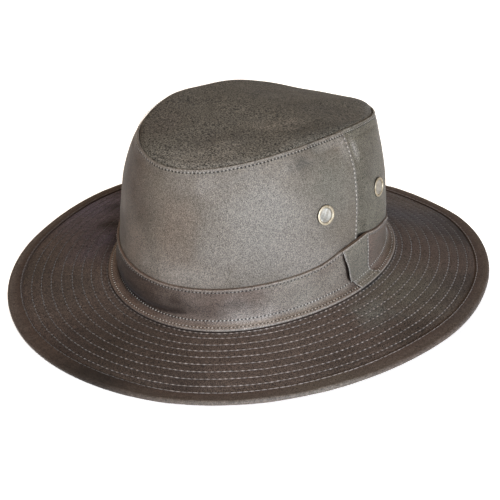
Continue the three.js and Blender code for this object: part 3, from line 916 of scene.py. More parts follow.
@dataclass
class CrownWall:
    """The crown's two wall panels. At both sides the front panel is folded and lapped over the back.

    Angles in degrees, sizes in millimetres. A mark paints light on the wall, or with a negative depth
    paints shade. side_reach is the panels' distance from the hat's middle at the side
    seams.
    """

    seam_top: float = 92.1
    seam_foot: float = 89.9
    lap: float = 1.35
    cloth: float = 1.2
    fold: float = 0.7
    rows: int = 62
    columns_front: int = 250
    columns_back: int = 240
    seam_row: float = 0.98
    low_lip: float = 1.2
    side_reach: float = 88.0
    eyelet_hole: float = 5.6
    stitch: Stitch = Stitch(pitch=2.5, width=0.7, height=0.55, share=0.62)
    side_stitch: Stitch = Stitch(pitch=2.9, width=0.75, height=0.6, share=1.0, neck=1.2, between=0.0, sink=-0.08)
    marks_front: tuple[Dent, ...] = (
        Dent(70.5, 0.905, -0.95, 2.8, 0.055), Dent(69.5, 0.97, -0.5, 2.5, 0.03), Dent(52, 0.94, -0.3, 1.5, 0.02),
        Dent(39.5, 0.92, -0.3, 2.0, 0.03), Dent(24.5, 0.64, -0.15, 3, 0.1), Dent(60.5, 0.90, 0.25, 3.5, 0.06),
        Dent(89.5, 0.88, 0.5, 2.2, 0.09), Dent(84, 0.95, 0.45, 8, 0.03), Dent(18, 0.1, 0.3, 14, 0.09),
        Dent(-8, 0.12, 0.3, 5, 0.1),
    )
    marks_back: tuple[Dent, ...] = (
        Dent(96.5, 0.12, -0.35, 2.5, 0.07), Dent(95, 0.45, -0.3, 2.5, 0.25), Dent(96.5, 0.83, 0.75, 1.6, 0.09),
        Dent(100, 0.33, -0.3, 3, 0.07), Dent(101, 0.55, -0.2, 3, 0.12),
    )

    def seam_angle(self, rise: Array) -> Array:
        """Angle of the side seam's stitches at a rise, in degrees."""
        return self.seam_foot + (self.seam_top - self.seam_foot) * np.clip(rise, 0.0, 1.0)

    def relief(self, angle: Array, rise: Array) -> Array:
        """Slow undulations of the cloth, with puckers along the tip seam and the side seams."""
        turns = angle / TURN + 0.5
        slow = 0.45 * soft_relief(turns, rise, (24, 4), 3) + 0.16 * soft_relief(turns, rise, (70, 9), 4)
        at_tip = 0.42 * soft_relief(turns, rise * 0.0, (66, 1), 5) * np.exp(-(((1.0 - rise) / 0.10) ** 2))
        side = np.abs(degrees_off(angle, 0.0)) - self.seam_angle(rise)
        at_side = 0.3 * soft_relief(turns * 0.0 + 0.3, rise, (3, 15), 6) * np.exp(-((side / 5.0) ** 2))
        return (slow + at_tip + at_side) * smooth_step(rise, 0.0, 0.1) * (1.0 - 0.8 * smooth_step(rise, 0.97, 1.0))

    def outer(self, angle: Array, rise: Array) -> Array:
        """Points on the wall's outer face, one row for each rise."""
        angle, rise = as_grid(angle, rise)
        return SHAPE.wall(angle, rise) + level_out(angle) * self.relief(angle, rise)[..., None]

    def front_face(self, angle: Array, rise: Array) -> Array:
        """The front panel's outer face, thicker where the seam allowance lies behind it."""
        angle, rise = as_grid(angle, rise)
        side = np.abs(degrees_off(angle, 0.0)) - self.seam_angle(rise)
        raised = 0.4 * smooth_step(side, -6.5, -5.0)
        return self.outer(angle, rise) + level_out(angle) * raised[..., None]

    def back_face(self, angle: Array, rise: Array) -> Array:
        """The back panel's outer face, which dips under the front panel's folded edge."""
        angle, rise = as_grid(angle, rise)
        side = np.abs(degrees_off(angle, 0.0)) - self.seam_angle(rise) - self.lap
        lowered = 0.85 * (1.0 - smooth_step(side, 0.0, 7.0))
        return self.outer(angle, rise) - level_out(angle) * lowered[..., None]

    def panel(self, name: str, face: Callable[[Array, Array], Array], columns: int, back: bool) -> bpy.types.Object:
        """Builds one panel with its thickness, its top edge folded and its side edges rounded.

        Args:
            name: Name of the piece.
            face: The panel's outer face.
            columns: Columns across the panel.
            back: True for the panel behind the side seams.

        Returns:
            The panel's object.
        """
        # the rows lie closer together along the band's edge and at the tip seam
        rises = np.concatenate([[-1.0, -0.6, -0.2], np.linspace(0.0, 0.054, 14), np.linspace(0.067, 0.955, self.rows),
                                np.linspace(0.962, 1.0, 7)])
        turn = np.linspace(0.0, math.pi, 7)[1:-1]
        rise = np.concatenate([rises, np.ones(turn.size), rises[::-1], [-1.0]])
        depth = np.concatenate([np.zeros(rises.size), self.cloth * (1 - np.cos(turn)) / 2,
                                np.full(rises.size, self.cloth), [0.0]])
        sunk = np.full(rises.size, -0.45)
        lift = np.concatenate([sunk, 0.45 * np.sin(turn) - 0.45, sunk, [-0.45]])
        lift = np.where(rise > 0.9, lift, 0.0)
        edge = self.seam_angle(rise)[:, None] + (-2.6 if back else self.lap)
        fine = np.array([0.0, 0.04, 0.16, 0.35, 0.6, 0.9]) / self.side_reach
        if back:
            start, end = np.radians(edge), TURN - np.radians(edge)
        else:
            start, end = -np.radians(edge), np.radians(edge)
        inner = np.linspace(0.0, 1.0, columns)[None, :]
        angle = np.concatenate([start + fine, (start + 0.02) + (end - start - 0.04) * inner, end - fine[::-1]], axis=1)
        away = np.minimum(angle - start, end - angle) * self.side_reach
        open_part = np.sqrt(np.clip(1.0 - np.clip(1.0 - away / self.fold, 0.0, 1.0) ** 2, 0.0, 1.0))
        depth_at = self.cloth / 2 + (depth[:, None] - self.cloth / 2) * open_part
        points = face(angle, rise) - level_out(angle) * depth_at[..., None]
        low = self.low_lip * SHAPE.behind(angle) * smooth_step(rise, 0.9, 1.0)[:, None]
        points[..., 2] += lift[:, None] * open_part - low
        line = lambda station: face(angle[rises.size - 3 : rises.size - 2], np.array([station]))[0]
        station = np.where(depth > self.cloth * 0.6, -2.0 - rise, rise)
        marks = self.marks_back if back else self.marks_front
        # the top fold is paler, partly worn and partly painted highlight; the marks paint light and shade
        wear_and_shading = 0.3 * smooth_step(rise, 0.985, 0.997)[:, None] + sum(mark.at(angle, rise[:, None]) for mark in marks)
        # a line of shade lies along the band's top edge, and another beside the folded side seam
        over = points[..., 2] - SHAPE.band_top(angle) - HatBand.tab_rise(angle)
        at_tab = HatBand.tab_rise(angle) / HatBand.tab_height
        wear_and_shading = wear_and_shading - (0.5 + 0.5 * at_tab) * (1.0 - smooth_step(over, -0.3, 0.5 - 0.35 * at_tab))
        if back:
            wear_and_shading = wear_and_shading - 0.4 * (1.0 - smooth_step(away, 2.5, 8.0)) * (1.0 - smooth_step(rise, 0.4, 0.6))[:, None]
        else:
            # paler along the front panel's folded edge, partly worn and partly painted highlight
            wear_and_shading = np.maximum(wear_and_shading, 0.45 * (1.0 - smooth_step(away, 0.4, 1.2)))
        grid = ClothGrid(name, points, station, [NeedleLine(self.seam_row, self.stitch.pitch)], line, wear_and_shading)
        return grid.build()

    def punch(self, piece: bpy.types.Object, centre: Array, normal: Array, radius: float) -> None:
        """Cuts a round hole through a panel and closes the hole's wall.

        Args:
            piece: The panel.
            centre: Middle of the hole, in millimetres.
            normal: Direction out of the cloth.
            radius: Radius of the hole, in millimetres.
        """
        middle, axis = Vector(centre * MM), Vector(normal)
        bm = bmesh.new()
        bm.from_mesh(piece.data)
        inside = []
        for face in bm.faces:
            away = face.calc_center_median() - middle
            if (away - axis * away.dot(axis)).length < radius * MM and abs(away.dot(axis)) < 0.006:
                inside.append(face)
        bmesh.ops.delete(bm, geom=inside, context="FACES")
        rim = [edge for edge in bm.edges if edge.is_boundary]
        for vert in {vert for edge in rim for vert in edge.verts}:
            away = vert.co - middle
            depth = away.dot(axis)
            vert.co = middle + axis * depth + (away - axis * depth).normalized() * (radius + 0.25) * MM
        bmesh.ops.bridge_loops(bm, edges=rim)
        bmesh.ops.recalc_face_normals(bm, faces=bm.faces)
        for face in bm.faces:
            face.smooth = True
        bm.to_mesh(piece.data)
        bm.free()

    def stitches(self, thread: Material, pale: Material) -> None:
        """Sews the row below the tip seam, and with the pale thread the row down each side seam."""
        seam = Topstitching("tip_seam_stitches", self.stitch, 21)
        edge = math.radians(float(self.seam_angle(np.array(self.seam_row))) + self.lap - 0.3)
        seam.row_on(self.front_face, np.linspace(-edge, edge, 700), self.seam_row, 1.0)
        seam.row_on(self.back_face, np.linspace(edge, TURN - edge, 700), self.seam_row, 1.0)
        seam.finish(thread, Slot.CROWN)
        sides = Topstitching("side_seam_stitches", self.side_stitch, 22)
        rises = np.linspace(0.0, 0.962, 200)
        for side in (-1.0, 1.0):
            angle = np.radians(self.seam_angle(rises)) * side
            points = self.front_face(angle[:, None], rises)[:, 0]
            normals = np.stack([np.sin(angle), -np.cos(angle), np.full_like(angle, 0.25)], axis=-1)
            sides.row(points, unit(normals))
        sides.finish(pale, Slot.CROWN)

    def build(self, cloth: Material, behind: Material, thread: Material, pale: Material,
              eyelets: "VentEyelets") -> None:
        """Makes both panels with their eyelet holes, and their stitching."""
        front = self.panel("crown_wall_front", self.front_face, self.columns_front, False)
        back = self.panel("crown_wall_back", self.back_face, self.columns_back, True)
        for eyelet in eyelets.places:
            centre, normal = eyelets.seat(eyelet, self)
            self.punch(front if abs(eyelet.angle) < 90 else back, centre, normal, self.eyelet_hole)
        dress(front, cloth, Slot.CROWN, "crown_side_front")
        dress(back, behind, Slot.CROWN, "crown_side_back")
        self.stitches(thread, pale)


@dataclass
class CrownTip:
    """The tip: a shallow dome whose edge rolls down into the seam."""

    columns: int = 400
    rings: int = 30
    edge_depth: float = 1.35
    roll: float = 2.0
    turn: tuple[float, float] = (1.3, 0.4)
    pillow: tuple[float, float] = (2.5, 3.0)
    proud: float = 1.6
    proud_places: tuple[Lift, ...] = (
        Lift(-98.0, -1.4, 10.0), Lift(-120.0, 0.45, 9.0), Lift(-155.0, -1.85, 14.0), Lift(168.0, 0.8, 11.0),
        Lift(-78.0, 0.4, 6.0),
    )
    skirt_rise: float = 0.93
    mean_radius: float = 80.0
    close_rings: tuple[float, ...] = (6.6, 5.3, 4.1, 3.1, 2.3, 1.6, 1.1, 0.7, 0.4, 0.18, 0.0)

    def dome(self, angle: Array, part: Array, lower: float) -> Array:
        """Points on the dome, part of the way out from its middle and lowered into its cloth."""
        angle, part = as_grid(angle, part)
        rise = 1.0 - SHAPE.wall_lip / (SHAPE.tip_line.level - SHAPE.wall_foot.level)
        edge = SHAPE.wall(angle, np.full_like(angle, rise)) - level_out(angle) * self.edge_depth
        x = edge[..., 0] * part
        y = SHAPE.tip_shift + (edge[..., 1] - SHAPE.tip_shift) * part
        line = SHAPE.tip_line
        height = line.level + line.tilt * part * np.cos(angle) + line.saddle * part**2 * np.cos(2.0 * angle)
        height = height + SHAPE.dome_rise * (1 - part**2) + (edge[..., 2] - line.at(angle)) * part**2
        inner = 1.0 - smooth_step(part, 0.86, 1.0)
        u, v = x / 230 + 0.5, y / 230 + 0.5
        waves = soft_relief(u, v, (7, 7), 11) * 0.9 + soft_relief(u, v, (19, 19), 12) * 0.3
        from_edge = (1.0 - part) * self.mean_radius
        pillow = sum(high * (1.0 - np.exp(-from_edge / run)) for high, run in (self.turn, self.pillow)) - self.roll
        stand = self.proud + sum(place.at(signed(angle)) for place in self.proud_places)
        height = height + waves * inner + pillow + stand * SHAPE.behind(angle) * np.exp(-from_edge / 12.0) - lower
        return np.stack([x, y, height], axis=-1)

    def build(self, cloth: Material) -> None:
        """Makes the tip with its turned-down edge and its underside."""
        angle = round_the_hat(self.columns)
        close = 1.0 - np.array(self.close_rings) / self.mean_radius
        parts = np.concatenate([np.linspace(0.0, 0.90, self.rings), close])
        top = self.dome(angle, parts, 0.0)
        under = self.dome(angle, parts[::-1], SHAPE.tip_cloth)
        outward = level_out(angle)
        skirt = SHAPE.wall(angle, np.full_like(angle, self.skirt_rise))
        outside = skirt - outward * (self.edge_depth + 0.35)
        inside = skirt - outward * (self.edge_depth + 0.35 + SHAPE.tip_cloth)
        points = np.concatenate([top, outside[None], inside[None], under], axis=0)
        piece = ClothGrid("crown_tip_cloth", points, np.arange(points.shape[0], dtype=float)).build()
        dress(piece, cloth, Slot.TIP, "crown_tip")


@dataclass(frozen=True)
class BandRow:
    """A row of the band's section: reach outside the head oval, and height below the band's top
    edge (drop) or above the brim's top face (lift). steps are the grid rows up to the next row."""

    reach: float
    drop: float | None = None
    lift: float | None = None
    steps: int = 1


@dataclass
class HatBand:
    """The hat band: upright round the crown, creased at the front, its foot turned out as a flange.

    A place is an angle in degrees and a share of the band's height. Marks are as on the crown's wall.
    """

    columns: int = 720
    top_row: float = 5.3
    flange_rows: tuple[float, float] = (9.15, 11.45)
    stitch: Stitch = Stitch(pitch=2.5, width=0.85, height=0.7, share=0.95, lean=24.0)
    rows: tuple[BandRow, ...] = (
        BandRow(-1.5, drop=12.0, steps=4),
        BandRow(-1.5, drop=0.8, steps=2),
        BandRow(-1.25, drop=0.2, steps=2),
        BandRow(-0.75, drop=0.0, steps=2),
        BandRow(-0.22, drop=0.2, steps=2),
        BandRow(0.0, drop=0.8, steps=8),
        BandRow(0.05, drop=6.0, steps=8),
        BandRow(0.1, drop=12.0, steps=8),
        BandRow(0.3, lift=9.0, steps=6),
        BandRow(0.7, lift=5.5, steps=5),
        BandRow(1.8, lift=3.2, steps=4),
        BandRow(3.6, lift=2.4, steps=5),
        BandRow(6.2, lift=2.15, steps=2),
        BandRow(6.95, lift=1.75, steps=2),
        BandRow(7.15, lift=1.2, steps=2),
        BandRow(6.9, lift=0.6, steps=2),
        BandRow(6.2, lift=0.35, steps=2),
        BandRow(3.6, lift=0.35, steps=2),
        BandRow(0.0, lift=0.35, steps=1),
        BandRow(-1.5, lift=0.35, steps=2),
    )
    crease_angles: tuple[float, ...] = (-62.0, -41.0, -18.0, -3.5, 7.5, 15.5, 30.0)
    crease_heights: tuple[float, ...] = (0.08, 0.12, 0.17, 0.20, 0.24, 0.29, 0.33)
    row_tones: tuple[float, ...] = (0.42, 0.95, 1.0)
    tab_height: ClassVar[float] = 0.5
    marks: tuple[Dent, ...] = (
        Dent(25, 0.88, 1.05, 7, 0.16), Dent(20, 0.42, -0.4, 6, 0.16), Dent(28, 0.32, -0.3, 5, 0.14),
        Dent(46, 0.3, -0.12, 6, 0.12), Dent(60, 0.58, -0.2, 8, 0.2), Dent(35, 0.58, -0.55, 7, 0.16),
        Dent(45, 0.85, 0.35, 10, 0.13), Dent(36, 0.1, 0.45, 12, 0.09), Dent(54, 0.12, 0.35, 9, 0.07),
        Dent(11, 0.62, -0.75, 6, 0.3), Dent(-5, 0.6, -0.8, 9, 0.3),
    )
    dents: tuple[Dent, ...] = (
        Dent(23.5, 0.49, 0.7, 4.0, 0.14),
        Dent(41.5, 0.60, 0.5, 5.0, 0.16),
        Dent(60.0, 0.30, -0.5, 9.0, 0.25),
        Dent(75.0, 0.55, 0.8, 5.0, 0.25),
        Dent(130.0, 0.45, 0.7, 9.0, 0.20),
        Dent(185.0, 0.35, 0.8, 12.0, 0.18),
        Dent(232.0, 0.50, 0.6, 8.0, 0.22),
        Dent(-88.0, 0.30, 0.8, 7.0, 0.20),
    )

    @staticmethod
    def tab_rise(angle: Array) -> Array:
        """How far the band's top edge stands up and off the wall where its end overlaps, in millimetres."""
        off = degrees_off(angle, 0.0)
        return HatBand.tab_height * stretch(off, 79.5, 81.5, 94.0, 98.0)

    def relief(self, angle: Array, share: Array) -> Array:
        """How far the outer face stands out, by the share of the band's height."""
        off = degrees_off(angle, 0.0)
        crease = np.interp(off, self.crease_angles, self.crease_heights)
        window = stretch(off, -64.0, -40.0, 12.0, 21.0)
        pinch = 1.2 * hump(share - crease, 0.38, 0.22) - 1.5 * hump(share, crease, 0.10)
        turns = angle / TURN + 0.5
        slow = 0.35 * soft_relief(turns, share, (22, 3), 31) + 0.14 * soft_relief(turns, share, (70, 4), 32)
        depth = sum(dent.at(angle, share) for dent in self.dents)
        return (window * pinch + slow - depth) * stretch(share, -0.05, 0.12, 0.86, 1.0)

    def section(self, angle: Array, station: Array, clearance: Array | float = 0.0) -> Array:
        """Points on the band's section, smoothed through its rows.

        Args:
            angle: Angles in radians, one row for each station or one row for all.
            station: Place along the section, in numbers of its rows.
            clearance: How far the point stands out from the face.

        Returns:
            The points, with x, y and z last.
        """
        station = np.asarray(station, dtype=float)
        angle = np.broadcast_to(np.atleast_2d(angle), (station.size, np.atleast_2d(angle).shape[1]))
        top = SHAPE.band_top(angle)
        heights, reaches = [], []
        for row in self.rows:
            height = top - row.drop if row.lift is None else SHAPE.brim_top(row.reach, angle) + row.lift
            heights.append(height)
            reaches.append(np.full_like(height, row.reach))
        table = np.stack([np.stack(reaches), np.stack(heights)], axis=-1)
        first = np.floor(station).astype(int)
        part = (station - first)[:, None, None]
        pick = np.arange(station.size)
        p0, p1, p2, p3 = (table[(first + k) % len(self.rows), pick] for k in (-1, 0, 1, 2))
        # a smooth curve through four rows at a time, and its slope
        bend, twist = 2 * p0 - 5 * p1 + 4 * p2 - p3, 3 * p1 - p0 - 3 * p2 + p3
        place = 0.5 * (2 * p1 + (p2 - p0) * part + bend * part**2 + twist * part**3)
        slope = 0.5 * ((p2 - p0) + 2 * bend * part + 3 * twist * part**2)
        slope = slope / np.maximum(np.linalg.norm(slope, axis=-1, keepdims=True), 1e-9)
        foot = SHAPE.flange_top.at(angle)
        share = (place[..., 1] - foot) / (top - foot)
        outside = stretch(station, 4.2, 5.5, 10.0, 12.0)[:, None]
        fuller = (0.95 * smooth_step(share, 0.5, 1.0) - 0.4) * smooth_step(share, 0.05, 0.3)
        stand_off = 0.4 * self.tab_rise(angle) * smooth_step(share, 0.3, 1.0)
        stand_off = stand_off + SHAPE.side_out.at(signed(angle)) * fuller
        reach = place[..., 0] - slope[..., 1] * clearance + self.relief(angle, share) * outside + stand_off
        height = place[..., 1] + slope[..., 0] * clearance
        return SHAPE.off_head(reach, angle, height)

    def wear_and_shading(self, angle: Array, stations: Array, height: Array) -> Array:
        """Pale folds, partly worn and partly painted highlight, and painted shade above the crease at the front and
        under the tab's open edge.
        """
        foot = SHAPE.flange_top.at(angle)[None, :]
        share = (height - foot) / (SHAPE.band_top(angle)[None, :] - foot)
        off = degrees_off(angle, 0.0)[None, :]
        crease = np.interp(off, self.crease_angles, self.crease_heights)
        window = stretch(off, -66.0, -48.0, 12.0, 18.0)
        shaded = stretch(off, -75.0, -40.0, -8.0, 27.0)
        above = smooth_step(share, crease - 0.08, crease - 0.02)
        folded = 0.95 * window * (1.0 - smooth_step(share, crease + 0.04, crease + 0.4))
        # painted shade over the band above its front crease
        dark = above * np.maximum(folded, 0.75 * shaded)
        marks = sum(mark.at(angle[None, :], share) for mark in self.marks)
        dark = np.where(marks > 0, dark - marks * (1.0 - dark), np.maximum(dark, -marks))
        dark = dark * stretch(stations, 4.9, 5.6, 12.0, 13.0)[:, None]
        tab = 81.0 + np.interp(stations, BandTab.slant_places, BandTab.slant_front)[:, None]
        down = np.clip((stations - 4.9) / 5.0, 0.0, 1.0)[:, None]
        # painted shadow under the tab's open edge
        under = (1.0 - smooth_step(np.abs(off - tab - 0.75), 0.55, 1.0)) * np.sin(down * math.pi) ** 0.6
        lit = 0.3 + 0.7 * smooth_step(off, 4.0, 24.0)
        # paler folds at the band's top and the flange's edge, partly worn and partly painted highlight where the lamp
        # falls
        folds = np.maximum(0.8 * hump(stations, 4.6, 0.45)[:, None], lit * hump(stations, 13.1, 0.6)[:, None])
        return folds - np.maximum(dark, 1.4 * under)

    def build(self, cloth: Material, thread: Material) -> None:
        """Makes the band and its three rows of stitches."""
        angle = round_the_hat(self.columns)
        stations = [number + np.arange(row.steps) / row.steps for number, row in enumerate(self.rows)]
        stations = np.concatenate([*stations, [float(len(self.rows))]])
        lines = [NeedleLine(station, self.stitch.pitch) for station in (self.top_row, *self.flange_rows)]
        points = self.section(angle, stations)
        on_line = lambda station: self.section(angle, np.array([station]))[0]
        wear_and_shading = self.wear_and_shading(angle, stations, points[..., 2])
        dress(ClothGrid("hat_band_cloth", points, stations, lines, on_line, wear_and_shading).build(), cloth, Slot.BAND, "hat_band")
        rows = Topstitching("hat_band_stitches", self.stitch, 33)
        path = round_the_hat(1400)
        for station, pale in zip((self.top_row, *self.flange_rows), self.row_tones):
            rows.row_on(self.section, path, station, -1.0, np.broadcast_to((pale, 0.1), (path.size, 2)))
        rows.finish(thread, Slot.BAND)


@dataclass
class BandTab:
    """The overlapping end of the band. Its front edge stands open and its back edge is sewn down."""

    start: float = 81.0
    end: float = 97.0
    slant_places: tuple[float, ...] = (5.0, 6.0, 7.0, 8.0, 9.0, 10.0, 11.0, 12.5)
    slant_front: tuple[float, ...] = (-0.3, 0.5, 1.8, 3.5, 5.2, 6.2, 6.6, 6.8)
    slant_back: tuple[float, ...] = (0.0, 0.4, 0.8, 1.3, 1.8, 2.6, 3.8, 5.2)
    cloth: float = 1.2
    clearance: float = 0.2
    open_edge: float = 2.3
    rise: float = 0.6
    side_reach: float = 90.0
    columns: int = 30
    stitch: Stitch = Stitch(pitch=2.5, width=0.8, height=0.65, share=0.95)

    def slanted(self, part: Array, station: Array) -> Array:
        """Angles in radians, part of the way across the tab, for each station of the band."""
        front = np.interp(station, self.slant_places, self.slant_front)[:, None] + self.start
        back = np.interp(station, self.slant_places, self.slant_back)[:, None] + self.end
        return np.radians(front + (back - front) * np.asarray(part)[None, :])

    def lifted(self, part: Array, station: Array) -> Array:
        """How far the tab stands off the band, most at its open front edge."""
        across = np.clip(1.0 - np.asarray(part)[None, :] / 0.45, 0.0, 1.0) ** 1.6
        down = (0.12 + 0.88 * np.sin(np.clip((station - 4.6) / 6.0, 0.0, 1.0) * math.pi))[:, None]
        return self.clearance + self.open_edge * across * down

    def build(self, band: HatBand, cloth: Material, thread: Material) -> None:
        """Makes the tab, closed round all its edges, and its stitches."""
        down = np.linspace(4.75, 12.85, 52)
        turn = np.linspace(0.0, math.pi, 6)[1:-1]
        half = self.cloth / 2
        station = np.concatenate([down, 12.85 + 0.2 * np.sin(turn), down[::-1], 4.75 - 0.15 * np.sin(turn), down[:1]])
        flat, round_edge = np.full(down.size, half), half * np.cos(turn)
        depth = np.concatenate([flat, round_edge, -flat, -round_edge, [half]])
        width = math.radians(self.end - self.start) * self.side_reach
        fine = np.array([0.0, 0.04, 0.16, 0.35, 0.6]) / width
        part = np.concatenate([fine, np.linspace(0.06, 0.94, self.columns), 1.0 - fine[::-1]])
        away = np.minimum(part, 1.0 - part) * width
        open_part = np.sqrt(np.clip(1.0 - np.clip(1.0 - away / half, 0.0, 1.0) ** 2, 0.0, 1.0))[None, :]
        thinner = np.where(part > 0.9, 0.55, 1.0)[None, :]
        clearance = self.lifted(part, station) + half + depth[:, None] * open_part * thinner - half * (1.0 - thinner)
        angle = self.slanted(part, station)
        points = band.section(angle, station, clearance)
        points[..., 2] += self.rise * (1.0 - smooth_step(station, 4.7, 6.6))[:, None]
        side, end = 1.0 - smooth_step(away, 0.2, 1.1), np.maximum(hump(station, 4.7, 0.2), hump(station, 12.9, 0.3))
        # paler edges, partly worn and partly painted highlight
        wear_and_shading = 0.9 * np.maximum(side[None, :], end[:, None])
        # the tab's underside is painted dark as shade
        wear_and_shading = np.where(depth[:, None] < -0.1, -1.0, wear_and_shading)
        piece = ClothGrid("band_tab_cloth", points, np.arange(station.size, dtype=float), wear_and_shading=wear_and_shading).build()
        dress(piece, cloth, Slot.BAND, "band_tab")
        rows = Topstitching("band_tab_stitches", self.stitch, 41)
        across = np.linspace(0.05, 0.96, 60)
        top = lambda share, at: band.section(self.slanted(share, at), at, self.lifted(share, at) + self.cloth)
        for place in band.flange_rows:
            strip = top(across, np.array([place, place + 0.05]))
            normal = np.cross(np.gradient(strip[0], axis=0), strip[0] - strip[1])
            rows.row(strip[0], unit(normal))
        places = np.linspace(5.1, 12.5, 80)
        line = top(np.array([0.93]), places)[:, 0]
        beside = top(np.array([0.88]), places)[:, 0]
        normal = np.cross(line - beside, -np.gradient(line, axis=0))
        rows.row(line, unit(normal))
        rows.finish(thread, Slot.BAND)


@dataclass
class Brim:
    """The brim: layers of cloth quilted with concentric rows of stitches.

    A station on the top face is its reach, and on the underside far_face less its reach.
    """

    columns: int = 720
    rows: tuple[float, ...] = (8.1, 12.0, 18.7, 25.1, 31.7, 38.8, 45.6, 52.1, 58.4)
    stitch: Stitch = Stitch(pitch=3.85, width=0.95, height=0.75, share=1.1, fat=0.15, neck=0.55, sink=-0.03, dip=0.45)
    groove: float = 0.22
    puff: float = 0.12
    far_face: float = 200.0

    def quilting(self, reach: Array, angle: Array) -> Array:
        """Relief of the quilting: a groove at each row and a soft puff between rows."""
        reach = np.asarray(reach, dtype=float).reshape(-1, 1)
        away = np.min(np.abs(reach[..., None] - np.array(self.rows)), axis=-1)
        turns = np.atleast_2d(angle) / TURN + 0.5
        across = reach / 80.0
        slow = 0.25 * soft_relief(turns, across, (40, 4), 51) + 0.12 * soft_relief(turns, across, (120, 9), 52)
        fade = stretch(reach, 7.0, 12.0, 62.0, 65.0)
        return (-self.groove * np.exp(-((away / 0.8) ** 2)) + self.puff * smooth_step(away, 0.0, 3.2) + slow) * fade

    def top(self, angle: Array, reach: Array) -> Array:
        """Points on the brim's top face, one row for each reach."""
        angle, reach = as_grid(angle, reach)
        height = SHAPE.brim_top(reach, angle) + self.quilting(reach, angle)
        return SHAPE.off_head(reach, angle, height)

    def under(self, angle: Array, reach: Array) -> Array:
        """Points on the brim's underside."""
        angle, reach = as_grid(angle, reach)
        height = SHAPE.brim_middle(reach, angle) - SHAPE.brim_cloth / 2 - 0.8 * self.quilting(reach, angle)
        return SHAPE.off_head(reach, angle, np.maximum(height, 0.12))

    def tones(self, angle: Array) -> Array:
        """How pale the thread is: painted light makes it palest at the front, and painted shade darkens it at the sides
        and behind.
        """
        off = degrees_off(angle, 0.0)
        sunk = smooth_step(np.abs(degrees_off(angle, 35.0)), 50.0, 105.0)
        bead = (0.38 + 0.62 * smooth_step(off, -16.0, 22.0)) * (1.0 - 0.75 * sunk)
        between = 0.03 + 0.5 * stretch(off, 10.0, 30.0, 48.0, 68.0)
        return np.stack([bead, between], axis=-1)

    def build(self, cloth: Material, thread: Material) -> None:
        """Makes the brim, thinned inside its binding, and the stitches on both its faces."""
        angle = round_the_hat(self.columns)
        line = SHAPE.brim_width - SHAPE.binding_width
        steps = np.array([-1.7, -0.8, 0.0, 0.8, 1.7, 3.25])
        reaches = np.concatenate([[-1.5, 2.5, 5.5], *[row + steps for row in self.rows[1:]], [64.2]])
        sparse = np.concatenate([[-1.5, 4.0], *[row + np.array([-1.0, 0.0, 1.0]) for row in self.rows], [64.2]])
        edge = np.array([line + 0.4, SHAPE.brim_width - 1.6])
        middle = SHAPE.brim_middle(edge[:, None], angle[None, :])
        upper = SHAPE.off_head(edge[:, None], angle[None, :], middle + SHAPE.brim_edge_cloth / 2)
        lower = SHAPE.off_head(edge[::-1, None], angle[None, :], middle[::-1] - SHAPE.brim_edge_cloth / 2)
        top, under = self.top(angle, reaches), self.under(angle, sparse[::-1])
        points = np.concatenate([top, upper, lower, under, top[:1]], axis=0)
        far = self.far_face
        stations = np.concatenate([reaches, edge, far - edge[::-1], far - sparse[::-1], [far - reaches[0]]])
        lines = [NeedleLine(row, self.stitch.pitch) for row in self.rows]
        lines += [NeedleLine(far - row, self.stitch.pitch) for row in self.rows]
        on_line = lambda station: self.top(angle, np.array([min(station, far - station)]))[0]
        off = degrees_off(angle, 0.0)
        # painted shadow: the crown's cast shadow on the brim at the left, and shade beside the flange at the front
        side = stretch(off, -150.0, -110.0, -66.0, -46.0)
        near = stretch(off, -70.0, -40.0, 24.0, 60.0)
        wear_and_shading = -np.maximum(0.8 * side[None, :] * (1.0 - smooth_step(stations, 7.0, 19.0))[:, None],
                           0.7 * near[None, :] * (1.0 - smooth_step(stations, 7.0, 10.5))[:, None])
        dress(ClothGrid("brim_cloth", points, stations, lines, on_line, wear_and_shading).build(), cloth, Slot.BRIM, "brim")
        path = round_the_hat(1800)
        above = Topstitching("brim_top_stitches", self.stitch, 53)
        below = Topstitching("brim_underside_stitches", self.stitch, 54)
        for row in self.rows:
            above.row_on(self.top, path, row, -1.0, self.tones(path))
            below.row_on(self.under, path, row, 1.0, self.tones(path))
        above.finish(thread, Slot.BRIM)
        below.finish(thread, Slot.BRIM)


